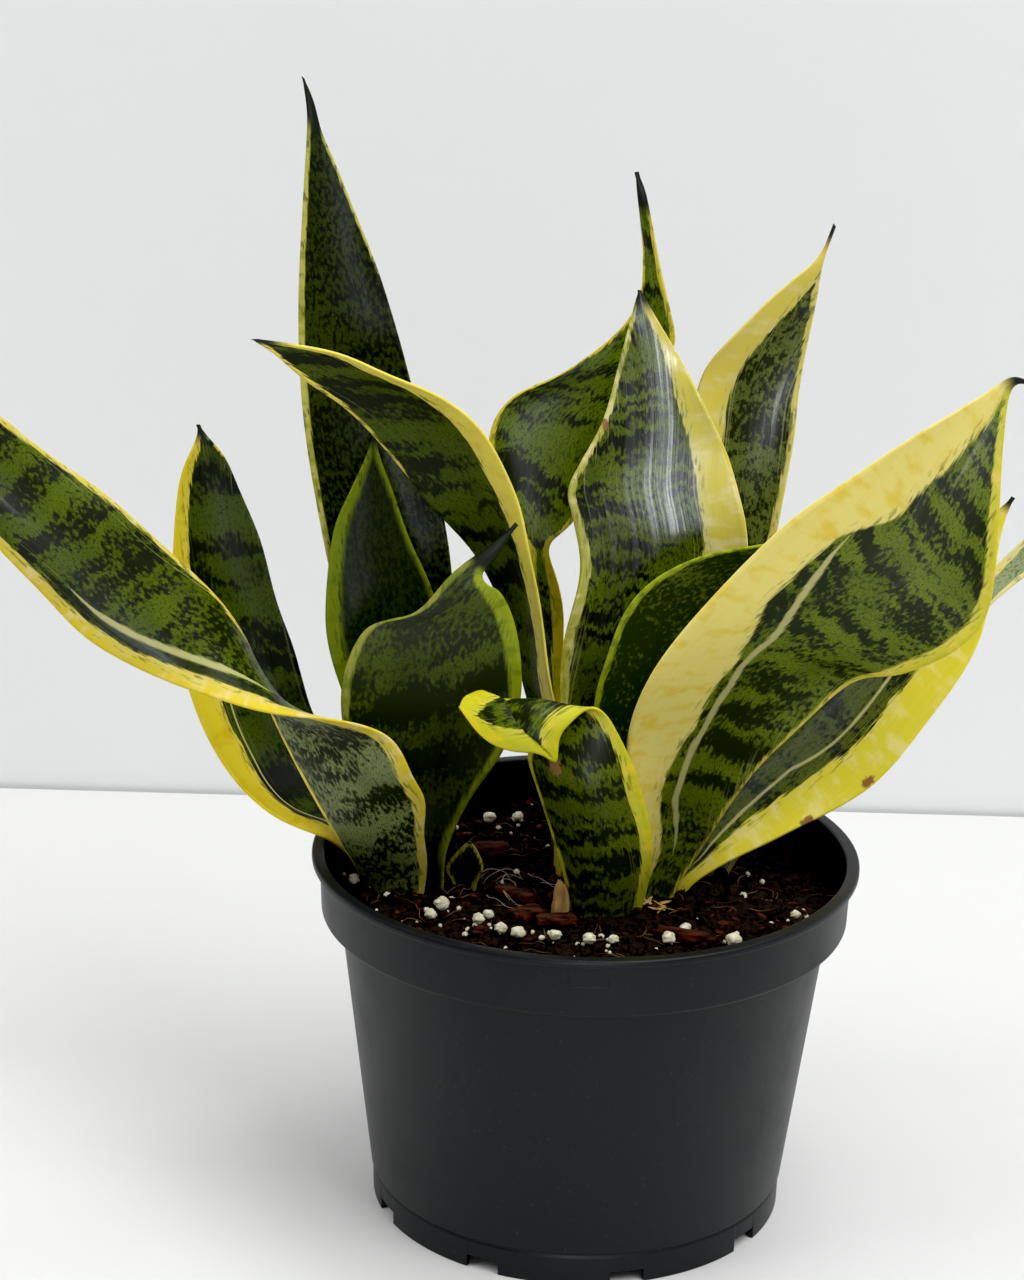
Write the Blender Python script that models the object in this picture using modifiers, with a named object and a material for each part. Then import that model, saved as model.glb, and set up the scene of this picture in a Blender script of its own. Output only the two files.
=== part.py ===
"""A snake plant in a black nursery pot, as separate solids: pot, soil, rhizomes, leaves and bits of potting mix.

Metres, +Z up. The origin is the middle of the pot's underside, on the surface that the pot stands on.
Front is -Y. The plant's own places are millimetres from the middle of the soil's surface, for a pot of
PLANT_FITS_RADIUS, so the plant grows and shrinks with the pot that it fills.
"""
import math

import bmesh
import bpy
import numpy as np
from mathutils import Matrix

# ---------------------------------------------------------------- driving dimensions, in metres
POT_RADIUS = 0.0825            # outside of the lip
POT_HEIGHT = 0.1124            # standing surface to the top of the lip
WALL = 0.0015                  # moulded wall of the pot
LIP_OVERHANG = 0.0024          # how far the lip stands out past the band
LIP_THICKNESS = 0.0022
BAND_HEIGHT = 0.0185           # top of the lip to the underside of the band
BAND_DRAFT = 0.0006            # how much the band narrows on its way down
BAND_STEP = 0.0056             # how far the body is set in under the band
FOOT_RADIUS = 0.0636           # outside of the wall where it meets the foot
FOOT_HEIGHT = 0.0100
FOOT_STEP = 0.0006             # the foot is set in by this much under the body
FLOOR_HEIGHT = 0.0050          # underside of the raised floor
FLOOR_THICKNESS = 0.0018
CENTRE_PAD_RADIUS = 0.0120     # flat pad in the middle of the underside
DRAIN_COUNT = 9
DRAIN_PHASE = 5                # heading of the first drain, in degrees from +X
NOTCH_WIDTH = 0.0105           # along the foot
NOTCH_HEIGHT = 0.0040
DRAIN_HOLE_RADIUS = 0.0035     # through the floor
DRAIN_HOLE_INSET = 0.0110      # from the foot's outside to the middle of a hole
SOIL_DROP = 0.0140             # lip to the soil's surface
SOIL_RELIEF = 0.0012           # height of the soil's humps
LEAF_THICKNESS = 0.0024        # middle of a blade, at its foot
LEAF_TIP_THICKNESS = 0.0013    # middle of a blade, near its tip
MARGIN_THICKNESS = 0.0008      # at a blade's edges
BURIED_DEPTH = 0.0090          # how deep a blade's foot goes into the soil
GAP = 0.0003                   # between pieces that touch
PLANT_FITS_RADIUS = 0.0825     # the pot radius that the plant's millimetres are chosen for

# ---------------------------------------------------------------- what follows from them
SOIL_LEVEL = POT_HEIGHT - SOIL_DROP
PLANT_MM = 0.001 * POT_RADIUS / PLANT_FITS_RADIUS
BAND_RADIUS = POT_RADIUS - LIP_OVERHANG
BODY_TOP_RADIUS = BAND_RADIUS - BAND_DRAFT - BAND_STEP
BAND_BOTTOM = POT_HEIGHT - BAND_HEIGHT
ROUND_STEPS = 60               # sides of a turned piece
BLADE_STEPS = 20               # sections along a blade
BLADE_COLUMNS = 5              # points across one side of a blade
POCKET_REACH = 0.0030          # how far a pocket's cutter stands out of the soil, at least
POCKET_GAP = 0.0004

# Each blade is a list of sections from the soil up: its left edge (x, y, z), its right edge (x, y, z)
# and how far its middle is set back from the straight line between them, all in plant millimetres.
BLADES = {
    "leaf_left_arching": [
        ((-67.5, 2, 0), (-48.5, -5, 0), -4),
        ((-70.5, -2, 8.5), (-47.5, -8, 12), -4),
        ((-74, -4, 15.5), (-48.5, -12, 22), -5),
        ((-80, -5, 27), (-48, -15, 33), -5),
        ((-88, -5, 42), (-51.5, -18, 42.5), -5),
        ((-93, -3, 50.5), (-57.5, -20, 55), -3),
        ((-95.5, 0, 55.5), (-71, -23, 60), -1),
        ((-96.5, 2, 60), (-84, -25, 62.5), 0),
        ((-99.5, 1, 69.5), (-94, -25, 64), 1),
        ((-104, -2, 80), (-105.5, -24.5, 66), 2),
        ((-111.5, -8, 94), (-124.5, -24, 72.5), 3),
        ((-126, -13, 110), (-144.5, -25, 83.5), 3),
        ((-142, -17, 126), (-158.5, -27, 99), 3),
        ((-157, -21, 138), (-172, -29, 114.5), 3),
        ((-171.5, -25, 151.5), (-185, -31, 130), 2),
        ((-187, -29, 165), (-197, -33, 148), 1),
        ((-201, -32, 177.5), (-205.5, -34, 169), 0),
        ((-215, -36, 186), (-215, -36, 186), 0),
    ],
    "leaf_left_back": [
        ((-67, 8, 0), (-60, 21, 0), 1.5),
        ((-70.5, 3.5, 6.5), (-61.5, 22, 6), 2),
        ((-75, -1, 13), (-64, 23, 12.5), 2),
        ((-79, -3, 16.5), (-67, 25, 18), 2.5),
        ((-83.5, -3, 18.2), (-70.5, 27, 22), 3),
        ((-88, -1.5, 19.2), (-74, 29, 24.5), 4),
        ((-95, 2, 20.8), (-77.5, 31, 27), 5),
        ((-104, 9, 25), (-81, 32, 31), 6),
        ((-112, 16, 32), (-84, 33, 38), 6),
        ((-118.5, 20, 42.5), (-87, 34, 45), 5),
        ((-123.5, 23, 55.5), (-90, 34, 55.5), 5),
        ((-126, 25, 68), (-92.5, 34, 64.5), 4),
        ((-127.5, 26, 84), (-97.5, 34, 79), 4),
        ((-127.5, 27.5, 99), (-102.5, 34.5, 98), 3),
        ((-126, 29.5, 116), (-108.5, 34.5, 113), 2),
        ((-123, 30.5, 125), (-113, 33.5, 124), 1),
        ((-120.5, 32, 130.5), (-118, 32, 130.5), 0),
        ((-120.5, 32, 134), (-120.5, 32, 134), 0),
    ],
    "leaf_left_tall": [
        ((-54, 20, 0), (-40, 20, 0), 3),
        ((-60, 21, 22), (-41, 23, 22), 4),
        ((-67, 22, 45), (-43, 26, 44.5), 4),
        ((-77.5, 24, 82.5), (-43, 30, 82), 4),
        ((-83.5, 25, 110.5), (-46.5, 33, 108), 4),
        ((-88.5, 26, 144), (-55.5, 34, 143), 4),
        ((-89.5, 27.5, 177), (-65, 34.5, 176), 3),
        ((-88.5, 30, 203), (-75.5, 34, 203), 1.5),
        ((-87.7, 31, 218), (-81.5, 33, 217.5), 0.5),
        ((-87.5, 31.5, 227.5), (-84, 32.5, 223.5), 0),
        ((-88.4, 32, 234.5), (-86, 32, 232.5), 0),
        ((-89, 32, 238.5), (-89, 32, 238.5), 0),
    ],
    "leaf_left_short": [
        ((-60, 12, 0), (-49, 12, 0), 3),
        ((-62, 12, 26), (-42, 12, 27), 3),
        ((-74.5, 14, 55.5), (-41.5, 12, 56), 4),
        ((-79.5, 15.5, 72.5), (-44, 12.5, 71.5), 4),
        ((-80, 16.5, 88), (-48.5, 13.5, 90), 4),
        ((-78, 17.5, 106.5), (-56, 14.5, 106.5), 3),
        ((-73, 18, 119), (-61, 16, 120), 2),
        ((-68.5, 18.5, 129.5), (-65, 17.5, 130), 0.5),
        ((-66.5, 18, 136.5), (-66.5, 18, 136.5), 0),
    ],
    "leaf_left_broad": [
        ((-51, 1, 0), (-43, 0, 0), 3),
        ((-55, -4, 14), (-42, -2, 13), 4),
        ((-63, -8, 31.5), (-35, -2, 30), 5),
        ((-70, -10, 48), (-25.5, -4, 46.5), 5),
        ((-73, -11, 60), (-21, -6, 61.5), 4),
        ((-71.5, -11, 74), (-21, -7, 76), 3),
        ((-65, -9, 85.5), (-23.5, -7, 88.5), 2),
        ((-52, -7, 89), (-27.5, -7, 96.5), 1),
        ((-43.5, -6, 98.5), (-31.5, -6, 99), 0),
        ((-38.5, -5, 102.5), (-36.5, -5, 102), 0),
        ((-32, -5, 108.5), (-31, -5, 107.5), 0),
        ((-23, -4, 116.5), (-23, -4, 116.5), 0),
    ],
    "leaf_arched_over": [
        ((-10, 20, 0), (-8, 12, 0), 1),
        ((-11, 21, 20), (-8.5, 11, 24), 2),
        ((-13.5, 22, 39), (-9.5, 10, 46.5), 2),
        ((-20, 21, 57), (-12, 7, 62), 2),
        ((-25.5, 20, 79.5), (-15.5, 4, 85), 3),
        ((-34.5, 19, 98), (-19.5, 1, 108), 3),
        ((-47.5, 15, 114), (-24.5, 1, 125), 4),
        ((-59, 11, 130), (-33, 1, 141.5), 4),
        ((-72.5, 5, 146), (-46.5, 1, 152.5), 3),
        ((-85, 0, 156.5), (-62, 0, 159), 2),
        ((-93, -4, 164.5), (-77.5, -2, 165.5), 1),
        ((-99.5, -5, 169), (-99.5, -5, 169), 0),
    ],
    "leaf_centre_glossy": [
        ((2, 12, 0), (20, 14, 0), 4),
        ((-4.5, 11, 25), (24.5, 13, 25.5), 5),
        ((-8.5, 12, 52), (33.5, 14, 53), 5),
        ((-8.5, 13, 74), (41, 15, 75), 4),
        ((-4, 14, 97), (45, 16, 98), 4),
        ((-6.5, 15, 112.5), (44.5, 17, 111), 3),
        ((-8.5, 16, 121.5), (41.5, 18, 122.5), 3),
        ((-5, 17, 130), (38, 19, 133), 3),
        ((1.5, 18, 143), (31.5, 20, 146), 2.5),
        ((6, 20.5, 162), (23, 21.5, 161), 1),
        ((9, 22, 175), (14.5, 22, 174.5), 0),
        ((10.5, 22, 181), (10.5, 22, 181), 0),
    ],
    "leaf_centre_twisted": [
        ((-8, 29, 0), (2, 31, 0), 2),
        ((-10.5, 32, 16), (-3, 36, 15), 2),
        ((-13.5, 34, 49), (-8.5, 40, 47.5), 2),
        ((-18.5, 34, 75), (-9, 40, 73.5), 2),
        ((-20.5, 34, 91), (-12, 38, 88.5), 1),
        ((-20, 35, 97.5), (-14.5, 35, 98.5), 0),
        ((-28.5, 36, 114), (-6.5, 34, 107.5), 2),
        ((-33, 37, 130.5), (8, 33, 131.5), 3),
        ((-27, 38, 143.5), (15, 32, 146), 4),
        ((-12, 38, 151.5), (19.5, 31, 160), 3),
        ((4, 38, 164), (21.5, 31, 165), 2),
        ((11, 37, 175), (19, 32, 176), 1),
        ((11.5, 36, 186.5), (16, 33, 186.5), 0.5),
        ((10.5, 35, 197.5), (13.5, 33, 198), 0),
        ((9, 34, 208), (11, 34, 208.5), 0),
        ((8.5, 34, 213.5), (8.5, 34, 213.5), 0),
    ],
    "leaf_centre_low": [
        ((5, 4, 0), (18, 7, 0), 2),
        ((3, 3, 38.5), (19, 5, 31.5), 3),
        ((1.5, 2.5, 59), (27.5, 5.5, 46.5), 3),
        ((4.5, 1.5, 74), (34.5, 4.5, 59.5), 3),
        ((9.5, 1, 89), (43.5, 3, 73), 3),
        ((18, 0.5, 99.5), (52, 1.5, 86.5), 2),
        ((30.5, 0, 107), (60.5, 0, 98), 1),
        ((45, -1, 111), (66, -1, 107), 0),
        ((76.5, -2, 117.5), (76.5, -2, 117.5), 0),
    ],
    "leaf_right_broad": [
        ((16, -3, 0), (27, 0, 0), 3),
        ((18, -4, 16), (35, 0, 15.5), 3),
        ((14, -8, 33.5), (44, -4, 34), 4),
        ((11.5, -12, 54), (57, -9, 53.5), 5),
        ((18.5, -18, 78.5), (76, -15, 75), 4),
        ((36, -21, 103.5), (90.5, -21, 80.5), 3),
        ((55, -21.5, 125), (103.5, -24.5, 89), 3),
        ((71, -22, 137.5), (112, -26, 101.5), 3),
        ((87, -22.5, 150), (113, -25.5, 125.5), 2),
        ((102, -22.5, 160), (113, -23.5, 146.5), 1),
        ((110, -22, 165.5), (113.5, -22, 162), 0),
        ((115, -22, 167.5), (115, -22, 167.5), 0),
    ],
    "leaf_right_under": [
        ((22, 5.5, 0), (31, 3.5, 0), 2),
        ((31, 10, 14), (41, 6, 7.5), 2),
        ((45, 16, 33.5), (60.5, 8, 18), 3),
        ((60.5, 20, 55), (85.5, 10, 33.5), 4),
        ((78, 23, 75.5), (102.5, 13, 55.5), 4),
        ((93.5, 24, 91.5), (114, 16, 74.5), 3),
        ((106, 23.5, 104.5), (118.5, 18.5, 92.5), 1.5),
        ((116.5, 23, 114.5), (120.5, 21, 112), 0),
        ((123.5, 22, 122), (123.5, 22, 122), 0),
    ],
    "leaf_right_back": [
        ((17, 27, 0), (29, 29, 0), 2),
        ((19, 27, 10), (31, 29, 9.5), 2),
        ((20.5, 29, 32.5), (37, 33, 31.5), 3),
        ((23.5, 31.5, 61), (45.5, 36.5, 57), 4),
        ((26, 33, 89.5), (51.5, 39, 82.5), 4),
        ((28, 35, 114.5), (55.5, 41, 107.5), 4),
        ((28, 36, 133), (58.5, 42, 129), 4),
        ((30.5, 37, 153), (59.5, 43, 146), 3),
        ((41.5, 37.5, 167.5), (61.5, 42.5, 163), 2),
        ((54.5, 39, 180.5), (63.5, 41, 178), 1),
        ((63, 40, 188), (64.5, 40, 187), 0),
        ((67.5, 40, 198.5), (67.5, 40, 198.5), 0),
    ],
    "leaf_right_far": [
        ((36, 15, 0), (44, 17, 0), 1),
        ((45.5, 24, 22), (53.5, 20, 14), 1),
        ((65, 33, 41), (74.5, 27, 33.5), 2),
        ((86.5, 42, 60), (97, 34, 53), 2),
        ((107.5, 48, 77), (113.5, 40, 73), 2),
        ((124.5, 52, 92), (128, 44, 88), 2),
        ((139.5, 54, 108), (145, 46, 102.5), 1),
        ((156.5, 54, 127.5), (161, 50, 121), 0),
        ((171.5, 54, 145), (171.5, 54, 145), 0),
    ],
    "leaf_front_curled": [
        ((-4, -12, 0), (17, -13, 0), -5),
        ((-6.5, -12.5, 12.5), (19.5, -15, 14.5), -6),
        ((-10.5, -13, 25.5), (19, -16, 27), -7),
        ((-14.5, -13, 37.5), (16, -17, 38.5), -7),
        ((-17.5, -13, 47), (12.5, -18, 49.5), -6),
        ((-17, -13, 54), (5, -19, 63.5), -1),
        ((-20, -13, 58.5), (0, -20, 66), 2),
        ((-24, -13, 63.5), (-5, -22, 62.5), 4),
        ((-27.5, -13, 66), (-9, -24, 58), 5),
        ((-31, -13, 67.5), (-9, -25, 50.5), 5),
        ((-33, -13, 67.5), (-14, -26, 54), 4),
        ((-35, -14, 67), (-23, -26, 54.5), 3),
        ((-37, -16, 66.5), (-31, -24, 57.5), 1),
        ((-38, -19, 64.5), (-38, -19, 64.5), 0),
    ],
    "young_leaf": [
        ((-40, 3, 0), (-33, 1, 0), 1),
        ((-42, 2, 5.5), (-31, 0, 6.5), 1),
        ((-37.5, 1, 12.5), (-33, 1, 12), 0.5),
        ((-35, 1, 14.5), (-35, 1, 14.5), 0),
    ],
    "dry_sheath": [
        ((-9.5, -14, 0), (-4.5, -14, 0), -1),
        ((-9, -14, 3), (-4.5, -14, 3), -1),
        ((-8.5, -14, 7), (-5.5, -14, 7), -1),
        ((-7.5, -14, 9.5), (-7.5, -14, 9.5), 0),
    ],
}

# The buried crowns that the blades stand on: middle (x, y) and half sizes, in plant millimetres.
RHIZOMES = {
    "rhizome_left": ((-52, 14), (13, 12, 8)),
    "rhizome_middle": ((11.5, 7.5), (16, 11, 9)),
    "rhizome_back": ((-3, 32), (11, 9, 7)),
    "rhizome_right": ((23, 30), (13, 9, 7)),
}

# Grains of perlite on the soil: (x, y) in plant millimetres and the grain's radius in millimetres.
PERLITE = [
    (-42, -19, 2.6), (-45, -26, 1.9), (-31, -27, 2.0), (-28, -23, 1.7), (-24, -34, 2.0),
    (-19, -38, 2.3), (-8, -40, 2.0), (2, -42, 2.2), (9, -40, 1.7), (25, -38, 2.3),
    (30, -30, 1.8), (44, -38, 2.6), (63, -17, 1.7), (-70, -2, 2.0), (-31, 52, 2.2), (-22, 55, 1.8),
]

# Chips of bark: (x, y), heading in degrees, and length, width and height in millimetres.
BARK = {
    "bark_long": ((30, -34), -18, (20, 5, 2.6)),
    "bark_left": ((-17, -21), 40, (11, 7, 3.0)),
    "bark_front": ((-8, -27), 15, (12, 6, 3.2)),
    "bark_middle": ((-21, -8), -35, (14, 5, 2.8)),
    "bark_right": ((57, -33), 60, (8, 4, 2.4)),
    "bark_back": ((-30, 30), 10, (12, 6, 2.6)),
}


# ---------------------------------------------------------------- tools
def clear_scene():
    for old in list(bpy.data.objects):
        bpy.data.objects.remove(old, do_unlink=True)


def new_collection(name):
    collection = bpy.data.collections.new(name)
    bpy.context.scene.collection.children.link(collection)
    return collection


def material(name, colour, roughness):
    made = bpy.data.materials.new(name)
    made.use_nodes = True
    shader = made.node_tree.nodes["Principled BSDF"]
    shader.inputs["Base Color"].default_value = (*colour, 1.0)
    shader.inputs["Roughness"].default_value = roughness
    shader.inputs["Metallic"].default_value = 0.0
    return made


def add_object(name, mesh, finish=None):
    made = bpy.data.objects.new(name, mesh)
    if finish is None:
        cutters.objects.link(made)
        made.hide_render = True
        made.display_type = "WIRE"
    else:
        parts.objects.link(made)
        mesh.materials.append(finish)
    return made


def smooth(mesh):
    mesh.shade_smooth()
    mesh.set_sharp_from_angle(angle=math.radians(35))


def turned(name, profile, finish):
    """Turn a profile of (radius, z) points about the pot's axis, from the inside round to the outside."""
    mesh = bpy.data.meshes.new(name)
    points = [(radius, 0.0, z) for radius, z in profile]
    mesh.from_pydata(points, [(i, i + 1) for i in range(len(points) - 1)], [])
    made = add_object(name, mesh, finish)
    screw = made.modifiers.new("turn", "SCREW")
    screw.axis = "Z"
    screw.steps = ROUND_STEPS
    screw.render_steps = ROUND_STEPS
    screw.use_merge_vertices = True
    screw.merge_threshold = 0.00005
    screw.use_smooth_shade = True
    return made


def applied(made):
    """Replace the object's mesh with what its modifiers make of it."""
    graph = bpy.context.evaluated_depsgraph_get()
    mesh = bpy.data.meshes.new_from_object(made.evaluated_get(graph))
    made.modifiers.clear()
    made.data = mesh
    return mesh


def triangulated(mesh):
    tidy = bmesh.new()
    tidy.from_mesh(mesh)
    bmesh.ops.recalc_face_normals(tidy, faces=tidy.faces)
    bmesh.ops.triangulate(tidy, faces=tidy.faces)
    tidy.to_mesh(mesh)
    tidy.free()


def cut_all(target, group):
    boolean = target.modifiers.new("cut", "BOOLEAN")
    boolean.operation = "DIFFERENCE"
    boolean.solver = "EXACT"
    boolean.operand_type = "COLLECTION"
    boolean.collection = group


# ---------------------------------------------------------------- pot
def wall_outside(z):
    """The radius of the pot's body, under the band, at height z."""
    share = (z - FOOT_HEIGHT) / (BAND_BOTTOM - FOOT_HEIGHT)
    return FOOT_RADIUS + share * (BODY_TOP_RADIUS - FOOT_RADIUS)


def pot_inside():
    """The inside of the pot, from the middle of the floor up to the mouth, as (radius, z)."""
    floor = FLOOR_HEIGHT + FLOOR_THICKNESS
    return [
        (0.0, floor),
        (wall_outside(floor) - WALL - FOOT_STEP, floor),
        (wall_outside(BAND_BOTTOM) - WALL, BAND_BOTTOM),
        (BAND_RADIUS - BAND_DRAFT - WALL, BAND_BOTTOM + WALL),
        (BAND_RADIUS - WALL, POT_HEIGHT - LIP_THICKNESS),
    ]


def make_pot(finish):
    lip_round = 0.3 * LIP_THICKNESS
    outside = [
        (BAND_RADIUS - WALL, POT_HEIGHT - lip_round),
        (BAND_RADIUS - WALL + lip_round, POT_HEIGHT),
        (POT_RADIUS - lip_round, POT_HEIGHT),
        (POT_RADIUS, POT_HEIGHT - lip_round),
        (POT_RADIUS, POT_HEIGHT - LIP_THICKNESS + lip_round),
        (POT_RADIUS - lip_round, POT_HEIGHT - LIP_THICKNESS),
        (BAND_RADIUS, POT_HEIGHT - LIP_THICKNESS),
        (BAND_RADIUS - BAND_DRAFT, BAND_BOTTOM + WALL / 2),
        (BAND_RADIUS - BAND_DRAFT - WALL / 2, BAND_BOTTOM),
        (BODY_TOP_RADIUS, BAND_BOTTOM - WALL / 2),
        (FOOT_RADIUS, FOOT_HEIGHT),
        (FOOT_RADIUS - FOOT_STEP, FOOT_HEIGHT - FOOT_STEP),
        (FOOT_RADIUS - FOOT_STEP, 0.0),
        (FOOT_RADIUS - FOOT_STEP - WALL, 0.0),
        (FOOT_RADIUS - FOOT_STEP - WALL, FLOOR_HEIGHT),
        (CENTRE_PAD_RADIUS, FLOOR_HEIGHT),
        (CENTRE_PAD_RADIUS, 0.0),
        (0.0, 0.0),
    ]
    pot = turned("pot", pot_inside()[:-1] + outside, finish)
    for number in range(DRAIN_COUNT):
        angle = math.radians(DRAIN_PHASE + 360 * number / DRAIN_COUNT)
        bpy.ops.mesh.primitive_cube_add(size=1.0)
        notch = bpy.context.object
        notch.data.transform(scaling((6 * WALL, NOTCH_WIDTH, 2 * NOTCH_HEIGHT)))
        place_drain(notch, f"notch_cutter_{number}", FOOT_RADIUS - FOOT_STEP - WALL / 2, angle)
        bpy.ops.mesh.primitive_cylinder_add(vertices=16, radius=DRAIN_HOLE_RADIUS,
                                            depth=4 * FLOOR_HEIGHT)
        hole = bpy.context.object
        place_drain(hole, f"hole_cutter_{number}", FOOT_RADIUS - DRAIN_HOLE_INSET, angle)
    cut_all(pot, cutters)
    return pot


def place_drain(cutter, name, reach, angle):
    cutter.name = name
    cutter.location = (reach * math.cos(angle), reach * math.sin(angle), 0.0)
    cutter.rotation_euler = (0.0, 0.0, angle)
    move_to(cutter, cutters)


def scaling(scale):
    return Matrix.Diagonal((*scale, 1.0))


def move_to(made, collection):
    for holder in list(made.users_collection):
        holder.objects.unlink(made)
    collection.objects.link(made)
    made.hide_render = True
    made.display_type = "WIRE"


# ---------------------------------------------------------------- soil and what lies on it
def soil_height(x, y):
    """The soil's surface: three slow waves across the pot, flat at its wall."""
    radius = np.hypot(x, y) / (BAND_RADIUS - WALL)
    waves = np.sin(95 * x + 1.3) + np.sin(120 * y - 80 * x) + np.sin(150 * x + 110 * y + 0.7)
    return SOIL_LEVEL + SOIL_RELIEF * waves / 3 * np.clip(1.4 - 1.4 * radius, 0, 1)


def make_soil(finish):
    inside = pot_inside()
    profile = [(0.0, SOIL_LEVEL)]
    rim = BAND_RADIUS - WALL - GAP
    step_share = (SOIL_LEVEL - BAND_BOTTOM) / BAND_HEIGHT
    top_radius = rim - BAND_DRAFT * (1 - step_share)
    rings = 5
    profile += [(top_radius * ring / rings, SOIL_LEVEL) for ring in range(1, rings + 1)]
    profile.append((inside[3][0] - GAP, inside[3][1] + GAP))
    profile.append((inside[2][0] - GAP, inside[2][1] + GAP))
    profile.append((inside[1][0] - GAP, inside[1][1] + GAP))
    profile.append((0.0, inside[0][1] + GAP))
    soil = turned("soil", profile, finish)
    mesh = applied(soil)
    for vertex in mesh.vertices:
        if abs(vertex.co.z - SOIL_LEVEL) < GAP:
            vertex.co.z = float(soil_height(vertex.co.x, vertex.co.y))
    return soil


def make_rhizome(name, middle, half, finish):
    """A knobbly buried stem, its top a gap under the feet of the blades."""
    deep = half[2] * PLANT_MM + BURIED_DEPTH + POCKET_GAP
    centre = (middle[0] * PLANT_MM, middle[1] * PLANT_MM, SOIL_LEVEL - deep)
    bpy.ops.mesh.primitive_uv_sphere_add(segments=14, ring_count=8, radius=1.0)
    grown = bpy.context.object
    mesh = grown.data
    bpy.data.objects.remove(grown, do_unlink=True)
    triangulated(mesh)
    swollen = mesh.copy()
    for target, extra in ((mesh, 0.0), (swollen, POCKET_GAP)):
        for vertex in target.vertices:
            ringed = 1 + 0.05 * math.sin(9 * vertex.co.x)
            vertex.co = [centre[i] + vertex.co[i] * (half[i] * PLANT_MM * ringed + extra)
                         for i in range(3)]
    smooth(mesh)
    mesh.name = name
    add_object(name, mesh, finish)
    pocket = add_object(name + "_pocket", swollen)
    move_to(pocket, pockets)


def grain(name, radius, seed):
    """A knobbly closed lump: a ball whose points are pushed in and out."""
    bpy.ops.mesh.primitive_ico_sphere_add(subdivisions=2, radius=radius)
    ball = bpy.context.object
    mesh = ball.data
    bpy.data.objects.remove(ball, do_unlink=True)
    random = np.random.default_rng(seed)
    for vertex in mesh.vertices:
        vertex.co *= 1.0 + random.uniform(-0.14, 0.1)
    mesh.name = name
    return mesh


def make_perlite(finish):
    for number, (x, y, radius) in enumerate(PERLITE):
        name = f"perlite_{number + 1:02d}"
        mesh = grain(name, radius / 1000, number)
        made = add_object(name, mesh, finish)
        rest_on_soil(made, x * PLANT_MM, y * PLANT_MM)


def rest_on_soil(made, x, y):
    """Put the object down on the soil with a gap under its lowest point, clear of every hump."""
    lowest = min((made.matrix_basis @ vertex.co).z for vertex in made.data.vertices)
    reach = max(vertex.co.xy.length for vertex in made.data.vertices)
    around = [(x + reach * math.cos(a), y + reach * math.sin(a)) for a in np.linspace(0, 2 * math.pi, 9)]
    ground = max(float(soil_height(px, py)) for px, py in around + [(x, y)])
    made.location = (x, y, ground - lowest + GAP)


def make_bark(finish):
    for name, ((x, y), heading, (length, width, height)) in BARK.items():
        bpy.ops.mesh.primitive_cube_add(size=1.0)
        block = bpy.context.object
        mesh = block.data
        bpy.data.objects.remove(block, do_unlink=True)
        mesh.transform(scaling((length / 1000, width / 1000, height / 1000)))
        random = np.random.default_rng(len(name))
        for vertex in mesh.vertices:
            vertex.co *= 1.0 - random.uniform(0.0, 0.25)
        mesh.name = name
        made = add_object(name, mesh, finish)
        bevel = made.modifiers.new("worn", "BEVEL")
        bevel.width = 0.15 * height / 1000
        bevel.segments = 2
        rest_on_soil(made, x * PLANT_MM, y * PLANT_MM)
        made.rotation_euler = (0.0, 0.0, math.radians(heading))


# ---------------------------------------------------------------- blades
def along(points, places):
    """Read a smooth curve through the points (Catmull-Rom) at the given places, counted in points."""
    points = np.asarray(points, float)
    last = len(points) - 1
    first = np.clip(np.floor(places).astype(int), 0, last - 1)
    t = (places - first)[:, None]
    before = points[np.maximum(first - 1, 0)]
    start = points[first]
    end = points[first + 1]
    after = points[np.minimum(first + 2, last)]
    return 0.5 * (2 * start + (end - before) * t + (2 * before - 5 * start + 4 * end - after) * t ** 2
                  + (3 * start - before - 3 * end + after) * t ** 3)


def sections(stations):
    """Left edge, right edge and set-back of a blade at even steps along it, from under the soil."""
    left = np.array([station[0] for station in stations], float)
    right = np.array([station[1] for station in stations], float)
    depth = np.array([station[2] for station in stations], float)
    middle = (left[0] + right[0]) / 2
    buried = np.array([0, 0, -BURIED_DEPTH / PLANT_MM])
    left = np.vstack([middle + 0.8 * (left[0] - middle) + buried, left])
    right = np.vstack([middle + 0.8 * (right[0] - middle) + buried, right])
    depth = np.concatenate([[depth[0]], depth])
    steps = np.linalg.norm(np.diff((left + right) / 2, axis=0), axis=1)
    length = np.concatenate([[0], np.cumsum(steps)])
    evenly = np.linspace(0, length[-1], BLADE_STEPS)
    places = np.interp(evenly, length, np.arange(len(length)))
    return along(left, places), along(right, places), along(depth[:, None], places), evenly / length[-1]


def blade_surface(left, right, depth, columns):
    """The blade's middle surface: straight from edge to edge, set back by an arc of the given depth."""
    chord = right - left
    width = np.linalg.norm(chord, axis=1, keepdims=True)
    tangent = np.gradient((left + right) / 2, axis=0)
    facing = np.cross(chord, tangent)
    facing /= np.maximum(np.linalg.norm(facing, axis=1, keepdims=True), 1e-6)
    across = columns[None, :, None]
    surface = (left + right)[:, None] / 2 + across * chord[:, None] / 2
    surface = surface - (1 - across ** 2) * depth[:, None] * facing[:, None]
    return surface, width[:, 0]


def surface_normals(surface):
    across = np.gradient(surface, axis=1)
    upward = np.gradient(surface, axis=0)
    normal = np.cross(across, upward)
    return normal / np.maximum(np.linalg.norm(normal, axis=2, keepdims=True), 1e-9)


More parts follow.
